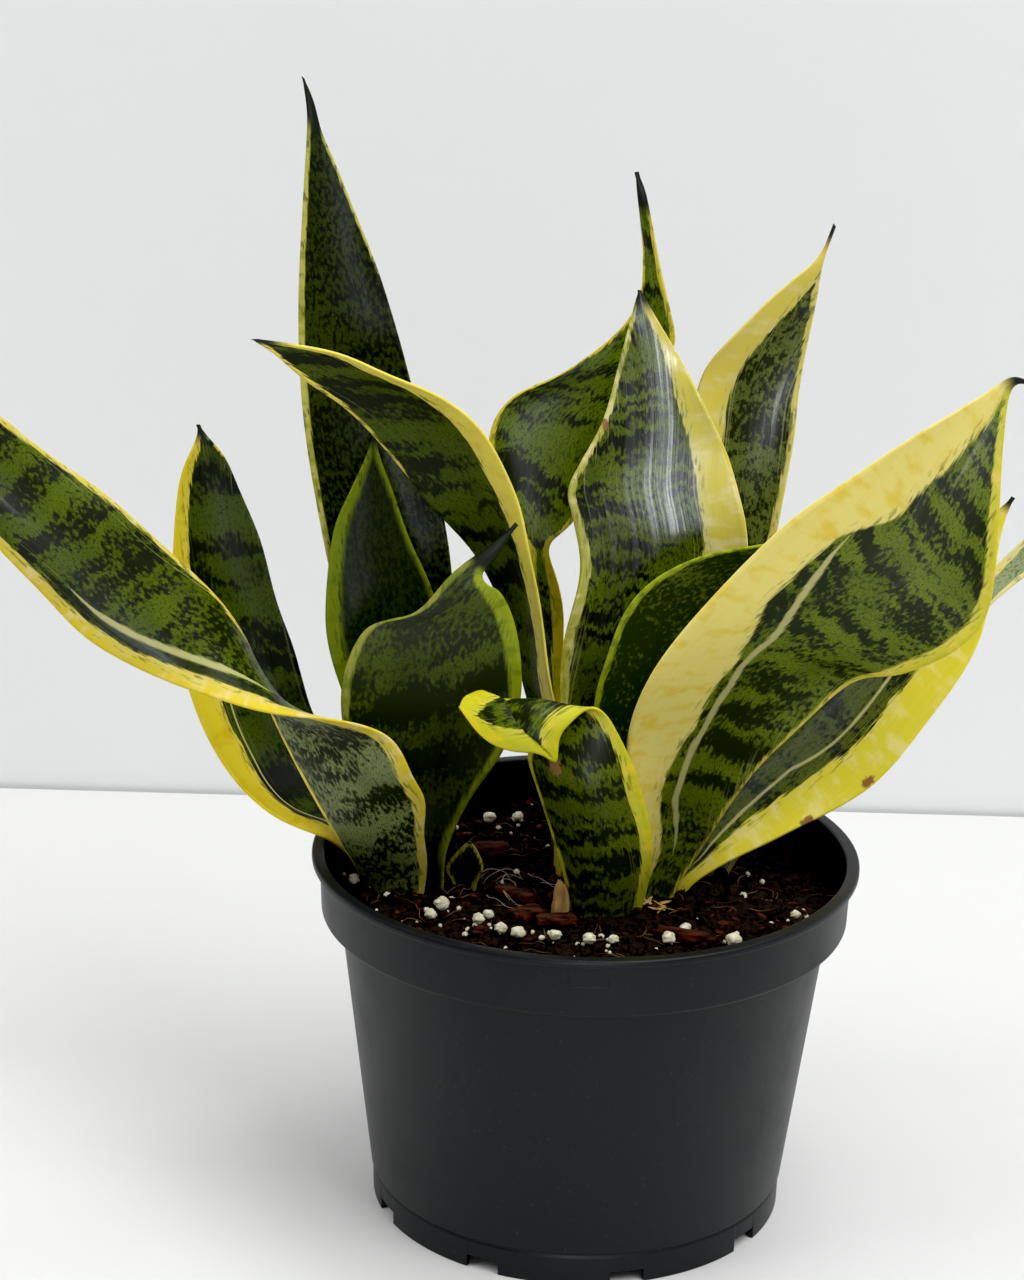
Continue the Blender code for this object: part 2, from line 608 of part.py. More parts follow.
def blade_mesh(name, stations, swell=0.0):
    """A closed blade: a ring of points round each section, front then back, and a cap at each end.

    With a swell, it is only the blade's foot, that much bigger all round, for the pocket it stands in.
    """
    left, right, depth, share = sections(stations)
    chord = right - left
    width = np.maximum(np.linalg.norm(chord, axis=1, keepdims=True), 1e-6)
    least = MARGIN_THICKNESS / PLANT_MM
    grown = np.maximum(width, least) / width - 1 + 2 * swell / PLANT_MM / width
    sideways = np.where(width > 0.01, chord, np.roll(chord, 1, axis=0))
    sideways /= np.linalg.norm(sideways, axis=1, keepdims=True)
    left = left - sideways * grown * width / 2
    right = right + sideways * grown * width / 2
    columns = np.linspace(-1, 1, BLADE_COLUMNS)
    surface, width = blade_surface(left, right, depth, columns)
    normal = surface_normals(surface)
    middle = LEAF_THICKNESS + (LEAF_TIP_THICKNESS - LEAF_THICKNESS) * share
    middle = np.minimum(middle, MARGIN_THICKNESS + 0.1 * width * PLANT_MM)[:, None]
    thickness = MARGIN_THICKNESS + (middle - MARGIN_THICKNESS) * (1 - columns[None] ** 2) + 2 * swell
    offset = normal * thickness[:, :, None] / PLANT_MM / 2
    ring = np.concatenate([surface + offset, (surface - offset)[:, ::-1]], axis=1)
    if swell:
        ring[0, :, 2] -= swell / PLANT_MM
        clear_of_soil = np.min(ring[:, :, 2], axis=1) > POCKET_REACH / PLANT_MM
        ring = ring[:int(np.argmax(clear_of_soil)) + 1]
    points = ring.reshape(-1, 3) * PLANT_MM + np.array([0, 0, SOIL_LEVEL])
    around = 2 * BLADE_COLUMNS
    faces = []
    for row in range(len(ring) - 1):
        for i in range(around):
            a, b = row * around + i, row * around + (i + 1) % around
            faces.append((a, b, b + around, a + around))
    top = (len(ring) - 1) * around
    for i in range(BLADE_COLUMNS - 1):
        front, back = i, around - 1 - i
        faces.append((front, back, back - 1, front + 1))
        faces.append((top + front, top + front + 1, top + back - 1, top + back))
    mesh = bpy.data.meshes.new(name)
    mesh.from_pydata(points.tolist(), [], faces)
    triangulated(mesh)
    smooth(mesh)
    return mesh


def make_blades(finishes):
    for name, stations in BLADES.items():
        finish = finishes.get(name, finishes["leaf"])
        add_object(name, blade_mesh(name, stations), finish)
        pocket = add_object(name + "_pocket", blade_mesh(name + "_pocket", stations, POCKET_GAP))
        move_to(pocket, pockets)


# ---------------------------------------------------------------- the plant
clear_scene()
parts = new_collection("potted_snake_plant")
cutters = new_collection("cutters")
pockets = new_collection("soil_pockets")

make_pot(material("pot_plastic", (0.018, 0.020, 0.021), 0.45))
soil = make_soil(material("potting_mix", (0.03, 0.018, 0.012), 0.95))
rhizome = material("rhizome_skin", (0.45, 0.30, 0.14), 0.7)
for rhizome_name, (rhizome_middle, rhizome_half) in RHIZOMES.items():
    make_rhizome(rhizome_name, rhizome_middle, rhizome_half, rhizome)
make_blades({
    "leaf": material("leaf_green", (0.045, 0.09, 0.02), 0.35),
    "dry_sheath": material("dry_sheath", (0.45, 0.33, 0.18), 0.8),
})
make_perlite(material("perlite", (0.75, 0.73, 0.66), 0.9))
make_bark(material("bark", (0.16, 0.06, 0.03), 0.85))
cut_all(soil, pockets)
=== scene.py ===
"""The looks of a potted snake plant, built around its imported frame.

Lengths are in metres, apart from the tables and patterns of the blades, which are in millimetres.
The blades' heights in the tables count from the soil.
"""
import math

import bpy
import numpy as np
from mathutils import Matrix, Vector


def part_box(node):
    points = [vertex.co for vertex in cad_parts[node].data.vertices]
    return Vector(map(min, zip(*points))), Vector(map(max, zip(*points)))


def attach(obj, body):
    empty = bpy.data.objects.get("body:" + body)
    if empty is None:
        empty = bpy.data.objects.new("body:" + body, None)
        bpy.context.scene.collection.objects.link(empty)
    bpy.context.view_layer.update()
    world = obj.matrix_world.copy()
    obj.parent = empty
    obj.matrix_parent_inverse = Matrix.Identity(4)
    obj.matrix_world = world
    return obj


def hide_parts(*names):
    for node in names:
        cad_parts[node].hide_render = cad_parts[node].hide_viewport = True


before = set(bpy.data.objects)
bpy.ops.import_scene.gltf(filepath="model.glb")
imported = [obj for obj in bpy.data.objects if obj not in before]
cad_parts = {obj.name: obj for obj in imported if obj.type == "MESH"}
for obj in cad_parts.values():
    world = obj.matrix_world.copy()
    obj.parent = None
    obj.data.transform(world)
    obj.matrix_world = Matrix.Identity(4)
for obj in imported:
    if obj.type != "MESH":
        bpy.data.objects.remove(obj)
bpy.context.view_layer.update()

# ---------------------------------------------------------------- sizes
MM = 0.001
SOIL_LEVEL = 0.0984
SOIL_RADIUS = 0.0777
SOIL_RELIEF = 0.0012
BURIED_DEPTH = 9.0
BLADE_ROWS = 210
BLADE_COLUMNS = 25
BLADE_THICKNESS = 2.4
TIP_THICKNESS = 1.3
MARGIN_THICKNESS = 0.8
NARROWEST = 0.05
FOOT_SHARE = 0.8
EASINGS = 10
RIPPLE_LENGTH = 7.0
NO_STRIPE = 99
ROUND_STEPS = 360
LIP_TOP = 0.1124

# Each blade from the soil up: where its left edge is (x, y, height), where its right edge is (x, y, height)
# and how far its middle is set back.
BLADES = {}
BLADES["leaf_left_arching"] = [
    (-67.5, 2, 0, -48.5, -5, 0, -4), (-70.5, -2, 8.5, -47.5, -8, 12, -4),
    (-74, -4, 15.5, -48.5, -12, 22, -5), (-80, -5, 27, -48, -15, 33, -5),
    (-88, -5, 42, -51.5, -18, 42.5, -5), (-93, -3, 50.5, -57.5, -20, 55, -3),
    (-95.5, 0, 55.5, -71, -23, 60, -1), (-96.5, 2, 60, -84, -25, 62.5, 0), (-99.5, 1, 69.5, -94, -25, 64, 1),
    (-104, -2, 80, -105.5, -24.5, 66, 2), (-111.5, -8, 94, -124.5, -24, 72.5, 3),
    (-126, -13, 110, -144.5, -25, 83.5, 3), (-142, -17, 126, -158.5, -27, 99, 3),
    (-157, -21, 138, -172, -29, 114.5, 3), (-171.5, -25, 151.5, -185, -31, 130, 2),
    (-187, -29, 165, -197, -33, 148, 1), (-201, -32, 177.5, -205.5, -34, 169, 0),
    (-215, -36, 186, -215, -36, 186, 0),
]
BLADES["leaf_left_back"] = [
    (-67, 8, 0, -60, 21, 0, 1.5), (-70.5, 3.5, 6.5, -61.5, 22, 6, 2), (-75, -1, 13, -64, 23, 12.5, 2),
    (-79, -3, 16.5, -67, 25, 18, 2.5), (-83.5, -3, 18.2, -70.5, 27, 22, 3),
    (-88, -1.5, 19.2, -74, 29, 24.5, 4), (-95, 2, 20.8, -77.5, 31, 27, 5), (-104, 9, 25, -81, 32, 31, 6),
    (-112, 16, 32, -84, 33, 38, 6), (-118.5, 20, 42.5, -87, 34, 45, 5), (-123.5, 23, 55.5, -90, 34, 55.5, 5),
    (-126, 25, 68, -92.5, 34, 64.5, 4), (-127.5, 26, 84, -97.5, 34, 79, 4),
    (-127.5, 27.5, 99, -102.5, 34.5, 98, 3), (-126, 29.5, 116, -108.5, 34.5, 113, 2),
    (-123, 30.5, 125, -113, 33.5, 124, 1), (-120.5, 32, 130.5, -118, 32, 130.5, 0),
    (-120.5, 32, 134, -120.5, 32, 134, 0),
]
BLADES["leaf_left_tall"] = [
    (-54, 20, 0, -40, 20, 0, 3), (-60, 21, 22, -41, 23, 22, 4), (-67, 22, 45, -43, 26, 44.5, 4),
    (-77.5, 24, 82.5, -43, 30, 82, 4), (-83.5, 25, 110.5, -46.5, 33, 108, 4),
    (-88.5, 26, 144, -55.5, 34, 143, 4), (-89.5, 27.5, 177, -65, 34.5, 176, 3),
    (-88.5, 30, 203, -75.5, 34, 203, 1.5), (-87.7, 31, 218, -81.5, 33, 217.5, 0.5),
    (-87.5, 31.5, 227.5, -84, 32.5, 223.5, 0), (-88.4, 32, 234.5, -86, 32, 232.5, 0),
    (-89, 32, 238.5, -89, 32, 238.5, 0),
]
BLADES["leaf_left_short"] = [
    (-60, 12, 0, -49, 12, 0, 3), (-62, 12, 26, -42, 12, 27, 3), (-74.5, 14, 55.5, -41.5, 12, 56, 4),
    (-79.5, 15.5, 72.5, -44, 12.5, 71.5, 4), (-80, 16.5, 88, -48.5, 13.5, 90, 4),
    (-78, 17.5, 106.5, -56, 14.5, 106.5, 3), (-73, 18, 119, -61, 16, 120, 2),
    (-68.5, 18.5, 129.5, -65, 17.5, 130, 0.5), (-66.5, 18, 136.5, -66.5, 18, 136.5, 0),
]
BLADES["leaf_left_broad"] = [
    (-51, 1, 0, -43, 0, 0, 3), (-55, -4, 14, -42, -2, 13, 4), (-63, -8, 31.5, -35, -2, 30, 5),
    (-70, -10, 48, -25.5, -4, 46.5, 5), (-73, -11, 60, -21, -6, 61.5, 4), (-71.5, -11, 74, -21, -7, 76, 3),
    (-65, -9, 85.5, -23.5, -7, 88.5, 2), (-52, -7, 89, -27.5, -7, 96.5, 1),
    (-43, -6, 99.5, -31.5, -6, 98.5, 0), (-37.8, -5, 104.4, -33, -5, 101.4, 0),
    (-31.6, -5, 109, -28.8, -5, 106.6, 0), (-23, -4, 116.5, -23, -4, 116.5, 0),
]
BLADES["leaf_arched_over"] = [
    (-10, 20, 0, -8, 12, 0, 1), (-11, 21, 20, -8.5, 11, 24, 2), (-13.5, 22, 39, -9.5, 10, 46.5, 2),
    (-20, 21, 57, -12, 7, 62, 2), (-25.5, 20, 79.5, -15.5, 4, 85, 3), (-34.5, 19, 98, -19.5, 1, 108, 3),
    (-47.5, 15, 114, -24.5, 1, 125, 4), (-59, 11, 130, -33, 1, 141.5, 4),
    (-72.5, 5, 146, -46.5, 1, 152.5, 3), (-85, 0, 156.5, -62, 0, 159, 2),
    (-93, -4, 164.5, -77.5, -2, 165.5, 1), (-99.5, -5, 169, -99.5, -5, 169, 0),
]
BLADES["leaf_centre_glossy"] = [
    (2, 12, 0, 20, 14, 0, 4), (-4.5, 11, 25, 24.5, 13, 25.5, 5), (-8.5, 12, 52, 33.5, 14, 53, 5),
    (-8.5, 13, 74, 41, 15, 75, 4), (-4, 14, 97, 45, 16, 98, 4), (-6.5, 15, 112.5, 44.5, 17, 111, 3),
    (-8.5, 16, 121.5, 41.5, 18, 122.5, 3), (-5, 17, 130, 38, 19, 133, 3), (1.5, 18, 143, 31.5, 20, 146, 2.5),
    (6, 20.5, 162, 23, 21.5, 161, 1), (9, 22, 175, 14.5, 22, 174.5, 0), (10.5, 22, 181, 10.5, 22, 181, 0),
]
BLADES["leaf_centre_twisted"] = [
    (-8, 29, 0, 2, 31, 0, 2), (-10.5, 32, 16, -3, 36, 15, 2), (-13.5, 34, 49, -8.5, 40, 47.5, 2),
    (-18.5, 34, 75, -9, 40, 73.5, 2), (-20.5, 34, 91, -12, 38, 88.5, 1), (-20, 35, 97.5, -14.5, 35, 98.5, 0),
    (-28.5, 36, 114, -6.5, 34, 107.5, 2), (-33, 37, 130.5, 8, 33, 131.5, 3),
    (-27, 38, 143.5, 15, 32, 146, 4), (-12, 38, 151.5, 19.5, 31, 160, 3), (4, 38, 164, 21.5, 31, 165, 2),
    (11, 37, 175, 19, 32, 176, 1), (11.5, 36, 186.5, 16, 33, 186.5, 0.5),
    (10.5, 35, 197.5, 13.5, 33, 198, 0), (9, 34, 208, 11, 34, 208.5, 0), (8.5, 34, 213.5, 8.5, 34, 213.5, 0),
]
BLADES["leaf_centre_low"] = [
    (5, 4, 0, 18, 7, 0, 2), (3, 3, 38.5, 19, 5, 31.5, 3), (1.5, 2.5, 59, 27.5, 5.5, 46.5, 3),
    (4.5, 1.5, 74, 34.5, 4.5, 59.5, 3), (9.5, 1, 89, 43.5, 3, 73, 3), (18, 0.5, 99.5, 52, 1.5, 86.5, 2),
    (30.5, 0, 107, 60.5, 0, 98, 1), (45, -1, 111, 66, -1, 107, 0), (76.5, -2, 117.5, 76.5, -2, 117.5, 0),
]
BLADES["leaf_right_broad"] = [
    (16, -3, 0, 27, 0, 0, 3), (18, -4, 16, 35, 0, 15.5, 3), (14, -8, 33.5, 44, -4, 34, 4),
    (11.5, -12, 54, 57, -9, 53.5, 5), (18.5, -18, 78.5, 76, -15, 75, 4),
    (36, -21, 103.5, 90.5, -21, 80.5, 3), (55, -21.5, 125, 103.5, -24.5, 89, 3),
    (71, -22, 137.5, 112, -26, 101.5, 3), (87, -22.5, 150, 113, -25.5, 125.5, 2),
    (102, -22.5, 160, 113, -23.5, 146.5, 1), (110, -22, 165.5, 113.5, -22, 162, 0),
    (113.4, -22, 168.6, 114.6, -22, 166.4, 0), (116.2, -22, 169.2, 116.4, -22, 167.6, 0),
    (118.4, -22, 167.6, 118.2, -22, 167, 0),
]
BLADES["leaf_right_under"] = [
    (22, 5.5, 0, 31, 3.5, 0, 2), (31, 10, 14, 41, 6, 7.5, 2), (45, 16, 33.5, 60.5, 8, 18, 3),
    (60.5, 20, 55, 85.5, 10, 33.5, 4), (78, 23, 75.5, 102.5, 13, 55.5, 4),
    (93.5, 24, 91.5, 114, 16, 74.5, 3), (106, 23.5, 104.5, 118.5, 18.5, 92.5, 1.5),
    (116.5, 23, 114.5, 120.5, 21, 112, 0), (123.5, 22, 122, 123.5, 22, 122, 0),
]
BLADES["leaf_right_back"] = [
    (17, 27, 0, 29, 29, 0, 2), (19, 27, 10, 31, 29, 9.5, 2), (20.5, 29, 32.5, 37, 33, 31.5, 3),
    (23.5, 31.5, 61, 45.5, 36.5, 57, 4), (26, 33, 89.5, 51.5, 39, 82.5, 4),
    (28, 35, 114.5, 55.5, 41, 107.5, 4), (28, 36, 133, 58.5, 42, 129, 4), (30.5, 37, 153, 59.5, 43, 146, 3),
    (41.5, 37.5, 167.5, 61.5, 42.5, 163, 2), (54.5, 39, 180.5, 63.5, 41, 178, 1),
    (63, 40, 188, 64.5, 40, 187, 0), (67.5, 40, 198.5, 67.5, 40, 198.5, 0),
]
BLADES["leaf_right_far"] = [
    (36, 15, 0, 44, 17, 0, 1), (45.5, 24, 22, 53.5, 20, 14, 1), (65, 33, 41, 74.5, 27, 33.5, 2),
    (86.5, 42, 60, 97, 34, 53, 2), (107.5, 48, 77, 113.5, 40, 73, 2), (124.5, 52, 92, 128, 44, 88, 2),
    (139.5, 54, 108, 145, 46, 102.5, 1), (156.5, 54, 127.5, 161, 50, 121, 0),
    (171.5, 54, 145, 171.5, 54, 145, 0),
]
BLADES["leaf_front_curled"] = [
    (-4, -12, 0, 17, -13, 0, -5), (-6.5, -12.5, 12.5, 19.5, -15, 14.5, -6),
    (-10.5, -13, 25.5, 19, -16, 27, -7), (-14.5, -13, 37.5, 16, -17, 38.5, -7),
    (-17.5, -13, 47, 12.5, -18, 49.5, -6), (-17, -13, 54, 5, -19, 63.5, -1), (-20, -13, 58.5, 0, -20, 66, 2),
    (-24, -13, 63.5, -5, -22, 62.5, 4), (-27.5, -13, 66, -9, -24, 58, 5), (-31, -13, 67.5, -9, -25, 50.5, 5),
    (-33, -13, 67.5, -14, -26, 54, 4), (-35, -14, 67, -23, -26, 54.5, 3),
    (-37, -16, 66.5, -31, -24, 57.5, 1), (-38, -19, 64.5, -38, -19, 64.5, 0),
]
BLADES["young_leaf"] = [
    (-40, 3, 0, -33, 1, 0, 1), (-42, 2, 5.5, -31, 0, 6.5, 1), (-37.5, 1, 12.5, -33, 1, 12, 0.5),
    (-35, 1, 14.5, -35, 1, 14.5, 0),
]


# ---------------------------------------------------------------- how the blades are painted
def tone(red, green, blue):
    """A colour given as 0 to 255 on a screen, turned into the linear numbers that a shader takes."""
    shares = np.array([red, green, blue]) / 255
    linear = np.where(shares <= 0.04045, shares / 12.92, ((shares + 0.055) / 1.055) ** 2.4)
    return (*linear.tolist(), 1.0)


YELLOW = tone(226, 204, 44)
CREAM = tone(238, 216, 128)
LIME = tone(160, 178, 24)
PALE = tone(204, 200, 132)
INNER_DARK = tone(22, 30, 5)
INNER_LIGHT = tone(86, 106, 6)
OUTER_DARK = tone(28, 38, 10)
OUTER_LIGHT = tone(116, 128, 70)
SPIKE = tone(22, 30, 14)
FOOT = tone(40, 44, 12)
SCAR = tone(150, 108, 58)

# How each blade is painted: its coloured margins as (share of its length, width) from foot to tip, its
# stripes as (edge they are counted from, [(share, distance from that edge)], half width), its scars as
# (along, across, size), the colours of its edge and of the mottles there, and the numbers of blade_skin.
LOOKS = {}
LOOKS["leaf_left_arching"] = dict(
    left=[(0, 1.2), (0.2, 1.6), (0.35, 0.8), (0.6, 1.2), (1, 0.8)],
    right=[(0, 1.5), (0.12, 2.6), (0.25, 4.2), (0.4, 4.8), (0.6, 3.4), (0.8, 2.4), (1, 1)],
    pale=("right", [(0.34, 9.6), (0.6, 7)], 1.1), deep=("right", [(0.3, 6.9), (0.66, 5)], 1.3), band=7.4,
    banding=0.66, slant=-0.25, seed=3.1, fringe=0.3, ripple=0.5, coat=0.12, outer_light=tone(126, 138, 84),
    outer_dark=tone(28, 36, 10), outer_is_back=0, edge=(YELLOW, CREAM))
LOOKS["leaf_left_back"] = dict(
    left=[(0, 3), (0.15, 7), (0.4, 9.5), (0.62, 6.5), (0.8, 4.2), (0.93, 2.2), (1, 0.6)],
    right=[(0, -1), (0.9, -1), (1, 0.7)], deep=("left", [(0.12, 8), (0.62, 9.5)], 0.5),
    pale=("left", [(0.12, 9.4), (0.56, 12)], 0.3), band=9.3, banding=0.9, seed=7.7, dark=tone(13, 20, 4),
    light=tone(66, 84, 12), edge=(YELLOW, tone(214, 186, 20)))
# This blade stands in shade behind the others: its dark and light tones and its greyish edge colours are
# painted shade, darker than the blades' own colours.
LOOKS["leaf_left_tall"] = dict(
    left=[(0, -1), (0.25, 0.2), (0.4, 1.4), (0.7, 1.5), (1, 0.6)],
    right=[(0, -1), (0.7, -1), (0.8, 0.4), (1, 0.6)], tip=0.92, soft=0.4, fringe=0, band=5.6, banding=0.35,
    seed=11.9, dark=tone(12, 17, 3), light=tone(50, 62, 12), edge=(tone(196, 190, 90), tone(150, 156, 50)))
# This blade faces away from the lights: its dark and light tones are painted shade, darker than the blades'
# own colours.
LOOKS["leaf_left_short"] = dict(
    left=[(0, 3), (0.4, 4.6), (0.8, 3.2), (1, 0.6)], right=[(0, 0.4), (1, 0.6)], band=12.4, banding=0.2,
    seed=15.2, dark=tone(15, 27, 4), light=tone(36, 48, 6), soft=0.5, blend=5, fringe=0,
    edge=(tone(122, 138, 8), tone(104, 122, 6)))
LOOKS["leaf_arched_over"] = dict(
    left=[(0, -1), (0.6, -1), (0.8, 1), (1, 1)],
    right=[(0, 7), (0.3, 8.5), (0.45, 8.5), (0.55, 8), (0.68, 7.8), (0.85, 4.4), (1, 1.4)], band=6.8,
    banding=0.85, slant=0.35, seed=19.4, light=tone(74, 90, 8),
    edge=(tone(242, 226, 92), tone(236, 214, 84)))
LOOKS["leaf_left_broad"] = dict(
    left=[(0, 0.8), (0.4, 1), (0.55, 2.2), (0.8, 2), (0.9, 0.8), (1, 0.2)], tip=0.86,
    left_edge=tone(150, 152, 60),
    right=[(0, 0.8), (0.3, 1.4), (0.5, 2.2), (0.65, 4), (0.78, 4.4), (0.88, 1.6), (1, 0.2)], band=11.2,
    banding=0.75, slant=-0.3, seed=23.8, dark=tone(28, 38, 5), light=tone(74, 88, 14), cover=0.46, soft=0.7,
    blend=3, fringe=0.03, foot=66, edge=(tone(146, 160, 22), tone(112, 132, 14)))
LOOKS["leaf_centre_glossy"] = dict(
    left=[(0, 1.6), (0.3, 2.4), (0.55, 3), (0.75, 1.4), (1, 0.5)],
    right=[(0, 3), (0.25, 9), (0.5, 13.5), (0.66, 12.5), (0.8, 8), (0.93, 3.4), (1, 1)], band=3.1,
    banding=0.85, seed=27.3, fringe=0.35, left_edge=tone(176, 176, 36), ripple=0.8, coat=1, gloss=0.26,
    scars=[(144.5, -15, 1.2)], dark=tone(22, 28, 12), light=tone(94, 112, 16), shine=0.24,
    edge=(tone(226, 212, 84), tone(240, 226, 150)))
LOOKS["leaf_centre_twisted"] = dict(
    left=[(0, 3), (0.3, 3.5), (0.42, 3), (0.5, 1.2), (0.8, 0.7), (1, 0.4)], tip=0.93, coat=0.05,
    right=[(0, 3), (0.3, 3.5), (0.42, 3), (0.5, 1), (0.6, 0.8), (0.72, 1.6), (0.82, 0.9), (1, 0.4)],
    band=4.3, banding=0.8, slant=0.3, seed=31.6, dark=tone(22, 30, 4), light=tone(98, 120, 10), shine=0.3,
    edge=(YELLOW, tone(186, 184, 40)))
LOOKS["leaf_centre_low"] = dict(
    left=[(0, 1.2), (0.5, 1.5), (1, 1)], right=[(0, 1), (1, 1)], band=9.9, banding=0.5, seed=35.1,
    dark=tone(32, 50, 5), light=tone(96, 112, 40), cover=0.42, soft=0.8, fringe=0.03,
    edge=(LIME, tone(110, 130, 30)))
LOOKS["leaf_right_broad"] = dict(
    left=[(0, 1), (0.1, 4), (0.215, 8), (0.316, 19.5), (0.445, 22.4), (0.55, 13.5), (0.66, 12.8),
          (0.73, 17), (0.84, 12.6), (0.92, 7), (0.97, 2)],
    right=[(0, 0.4), (0.36, 0.7), (0.46, 2.2), (0.56, 4.2), (0.7, 3.4), (0.9, 3), (1, 1)],
    pale=("left", [(0.1, 9), (0.2, 12.5), (0.316, 22.5), (0.4, 25.5), (0.5, 24), (0.6, 18),
                   (0.68, 14)], 1.1), right_edge=tone(216, 208, 50), coat=0.15, band=6.2, banding=0.78,
    slant=0.1, seed=39.9, fringe=0.2, blend=1.8, dark=tone(30, 40, 8), light=tone(110, 127, 26),
    edge=(tone(246, 230, 128), tone(240, 214, 82)))
LOOKS["leaf_right_under"] = dict(
    left=[(0, 0.6), (1, 0.8)],
    right=[(0, 3), (0.13, 4), (0.25, 9), (0.4, 12.5), (0.58, 12), (0.75, 11), (0.9, 6), (1, 1)],
    pale=("right", [(0.1, 4.8), (0.13, 5.5), (0.25, 12.5), (0.36, 17.3), (0.57, 17), (0.66, 17)], 0.5),
    scars=[(44.8, 13.3, 1.8), (65.6, 16, 1.6)], band=6.2, banding=0.75, seed=43.3, dark=tone(24, 32, 6),
    light=tone(96, 110, 16), edge=(tone(234, 220, 58), tone(244, 230, 130)))
LOOKS["leaf_right_back"] = dict(
    left=[(0, 4), (0.4, 8), (0.6, 9.5), (0.75, 11), (0.88, 8), (0.96, 3), (1, 1)],
    right=[(0, 1), (0.6, 1.4), (1, 1)], band=5, banding=0.45, seed=47.5, fringe=0.3, coat=0.5, gloss=0.2,
    dark=tone(28, 36, 12), light=tone(108, 122, 56), shine=0.28,
    edge=(tone(232, 214, 90), tone(238, 222, 140)))
LOOKS["leaf_right_far"] = dict(
    left=[(0, 1.5), (0.5, 2.2), (1, 1)], right=[(0, 1), (1, 1)], band=6.2, banding=0.6, cover=0.58,
    seed=51.2, dark=tone(84, 98, 66), light=tone(150, 162, 122), edge=(tone(220, 216, 150), CREAM))
LOOKS["leaf_front_curled"] = dict(
    left=[(0, 1.5), (0.35, 0.9), (0.55, 1.4), (0.72, 3), (0.85, 6), (1, 8)],
    right=[(0, 2.4), (0.3, 3.4), (0.45, 3.8), (0.62, 2.6), (0.75, 4), (0.85, 7), (1, 8)],
    scars=[(49.8, -6, 2.2)], tip=1, band=4.3, banding=0.8, seed=55.8, outer_dark=tone(24, 31, 5),
    outer_light=tone(92, 107, 14), outer_is_back=0, edge=(tone(196, 194, 34), YELLOW))
LOOKS["young_leaf"] = dict(
    left=[(0, 1), (1, 0.6)], right=[(0, 1), (1, 0.6)], band=3.7, banding=0.5, seed=59.1,
    dark=tone(14, 22, 10), light=tone(30, 44, 14), edge=(tone(170, 160, 40), LIME))

# What a look is when it doesn't say.
USUAL = dict(
    slant=0, cover=0.5, soft=1, fringe=0.15, blend=1, tip=0.955, foot=30, outer_is_back=1, dark=INNER_DARK,
    light=INNER_LIGHT, outer_dark=OUTER_DARK, outer_light=OUTER_LIGHT, shine=0.36, coat=0, gloss=0.14,
    ripple=0.35, scars=())


# ---------------------------------------------------------------- node helpers
def fill(made, inputs):
    """Join or set the inputs named."""
    for key, value in inputs.items():
        if isinstance(value, bpy.types.NodeSocket):
            made.id_data.links.new(value, made.inputs[key])
        else:
            made.inputs[key].default_value = value
    return made


def node(tree, kind, inputs=None, **settings):
    """Add a node with its settings and inputs."""
    made = tree.nodes.new(kind)
    for key, value in settings.items():
        setattr(made, key, value)
    return fill(made, inputs or {})


def maths(operation, *values, clamp=False):
    """Work out values, one or more of them a socket, with a node in that socket's tree."""
    tree = next(value.id_data for value in values if isinstance(value, bpy.types.NodeSocket))
    made = node(tree, "ShaderNodeMath", dict(enumerate(values)), operation=operation, use_clamp=clamp)
    return made.outputs[0]


def plus(first, second):
    return maths("ADD", first, second)


def minus(first, second):
    return maths("SUBTRACT", first, second)


def times(first, second):
    return maths("MULTIPLY", first, second)


def over(first, second):
    return maths("DIVIDE", first, second)


def step(value, start, end):
    """0 before start and 1 after end, smooth in between."""
    made = node(value.id_data, "ShaderNodeMapRange", {"Value": value, "From Min": start, "From Max": end},
                interpolation_type="SMOOTHSTEP")
    return made.outputs[0]


def mixed(share, first, second):
    return node(share.id_data, "ShaderNodeMix", {0: share, 6: first, 7: second}, data_type="RGBA").outputs[2]


def attribute(tree, name):
    return node(tree, "ShaderNodeAttribute", attribute_name=name).outputs["Fac"]


def grain(across, along, across_size, along_size, seed, detail=2.0):
    """Noise on a blade, stretched: one size across and another along it."""
    place = node(across.id_data, "ShaderNodeCombineXYZ", {
        0: over(across, across_size), 1: over(along, along_size), 2: seed}).outputs[0]
    noise = {"Vector": place, "Scale": 1.0, "Detail": detail}
    return node(across.id_data, "ShaderNodeTexNoise", noise).outputs[0]


def centred(value, amount):
    return times(minus(value, 0.5), amount)


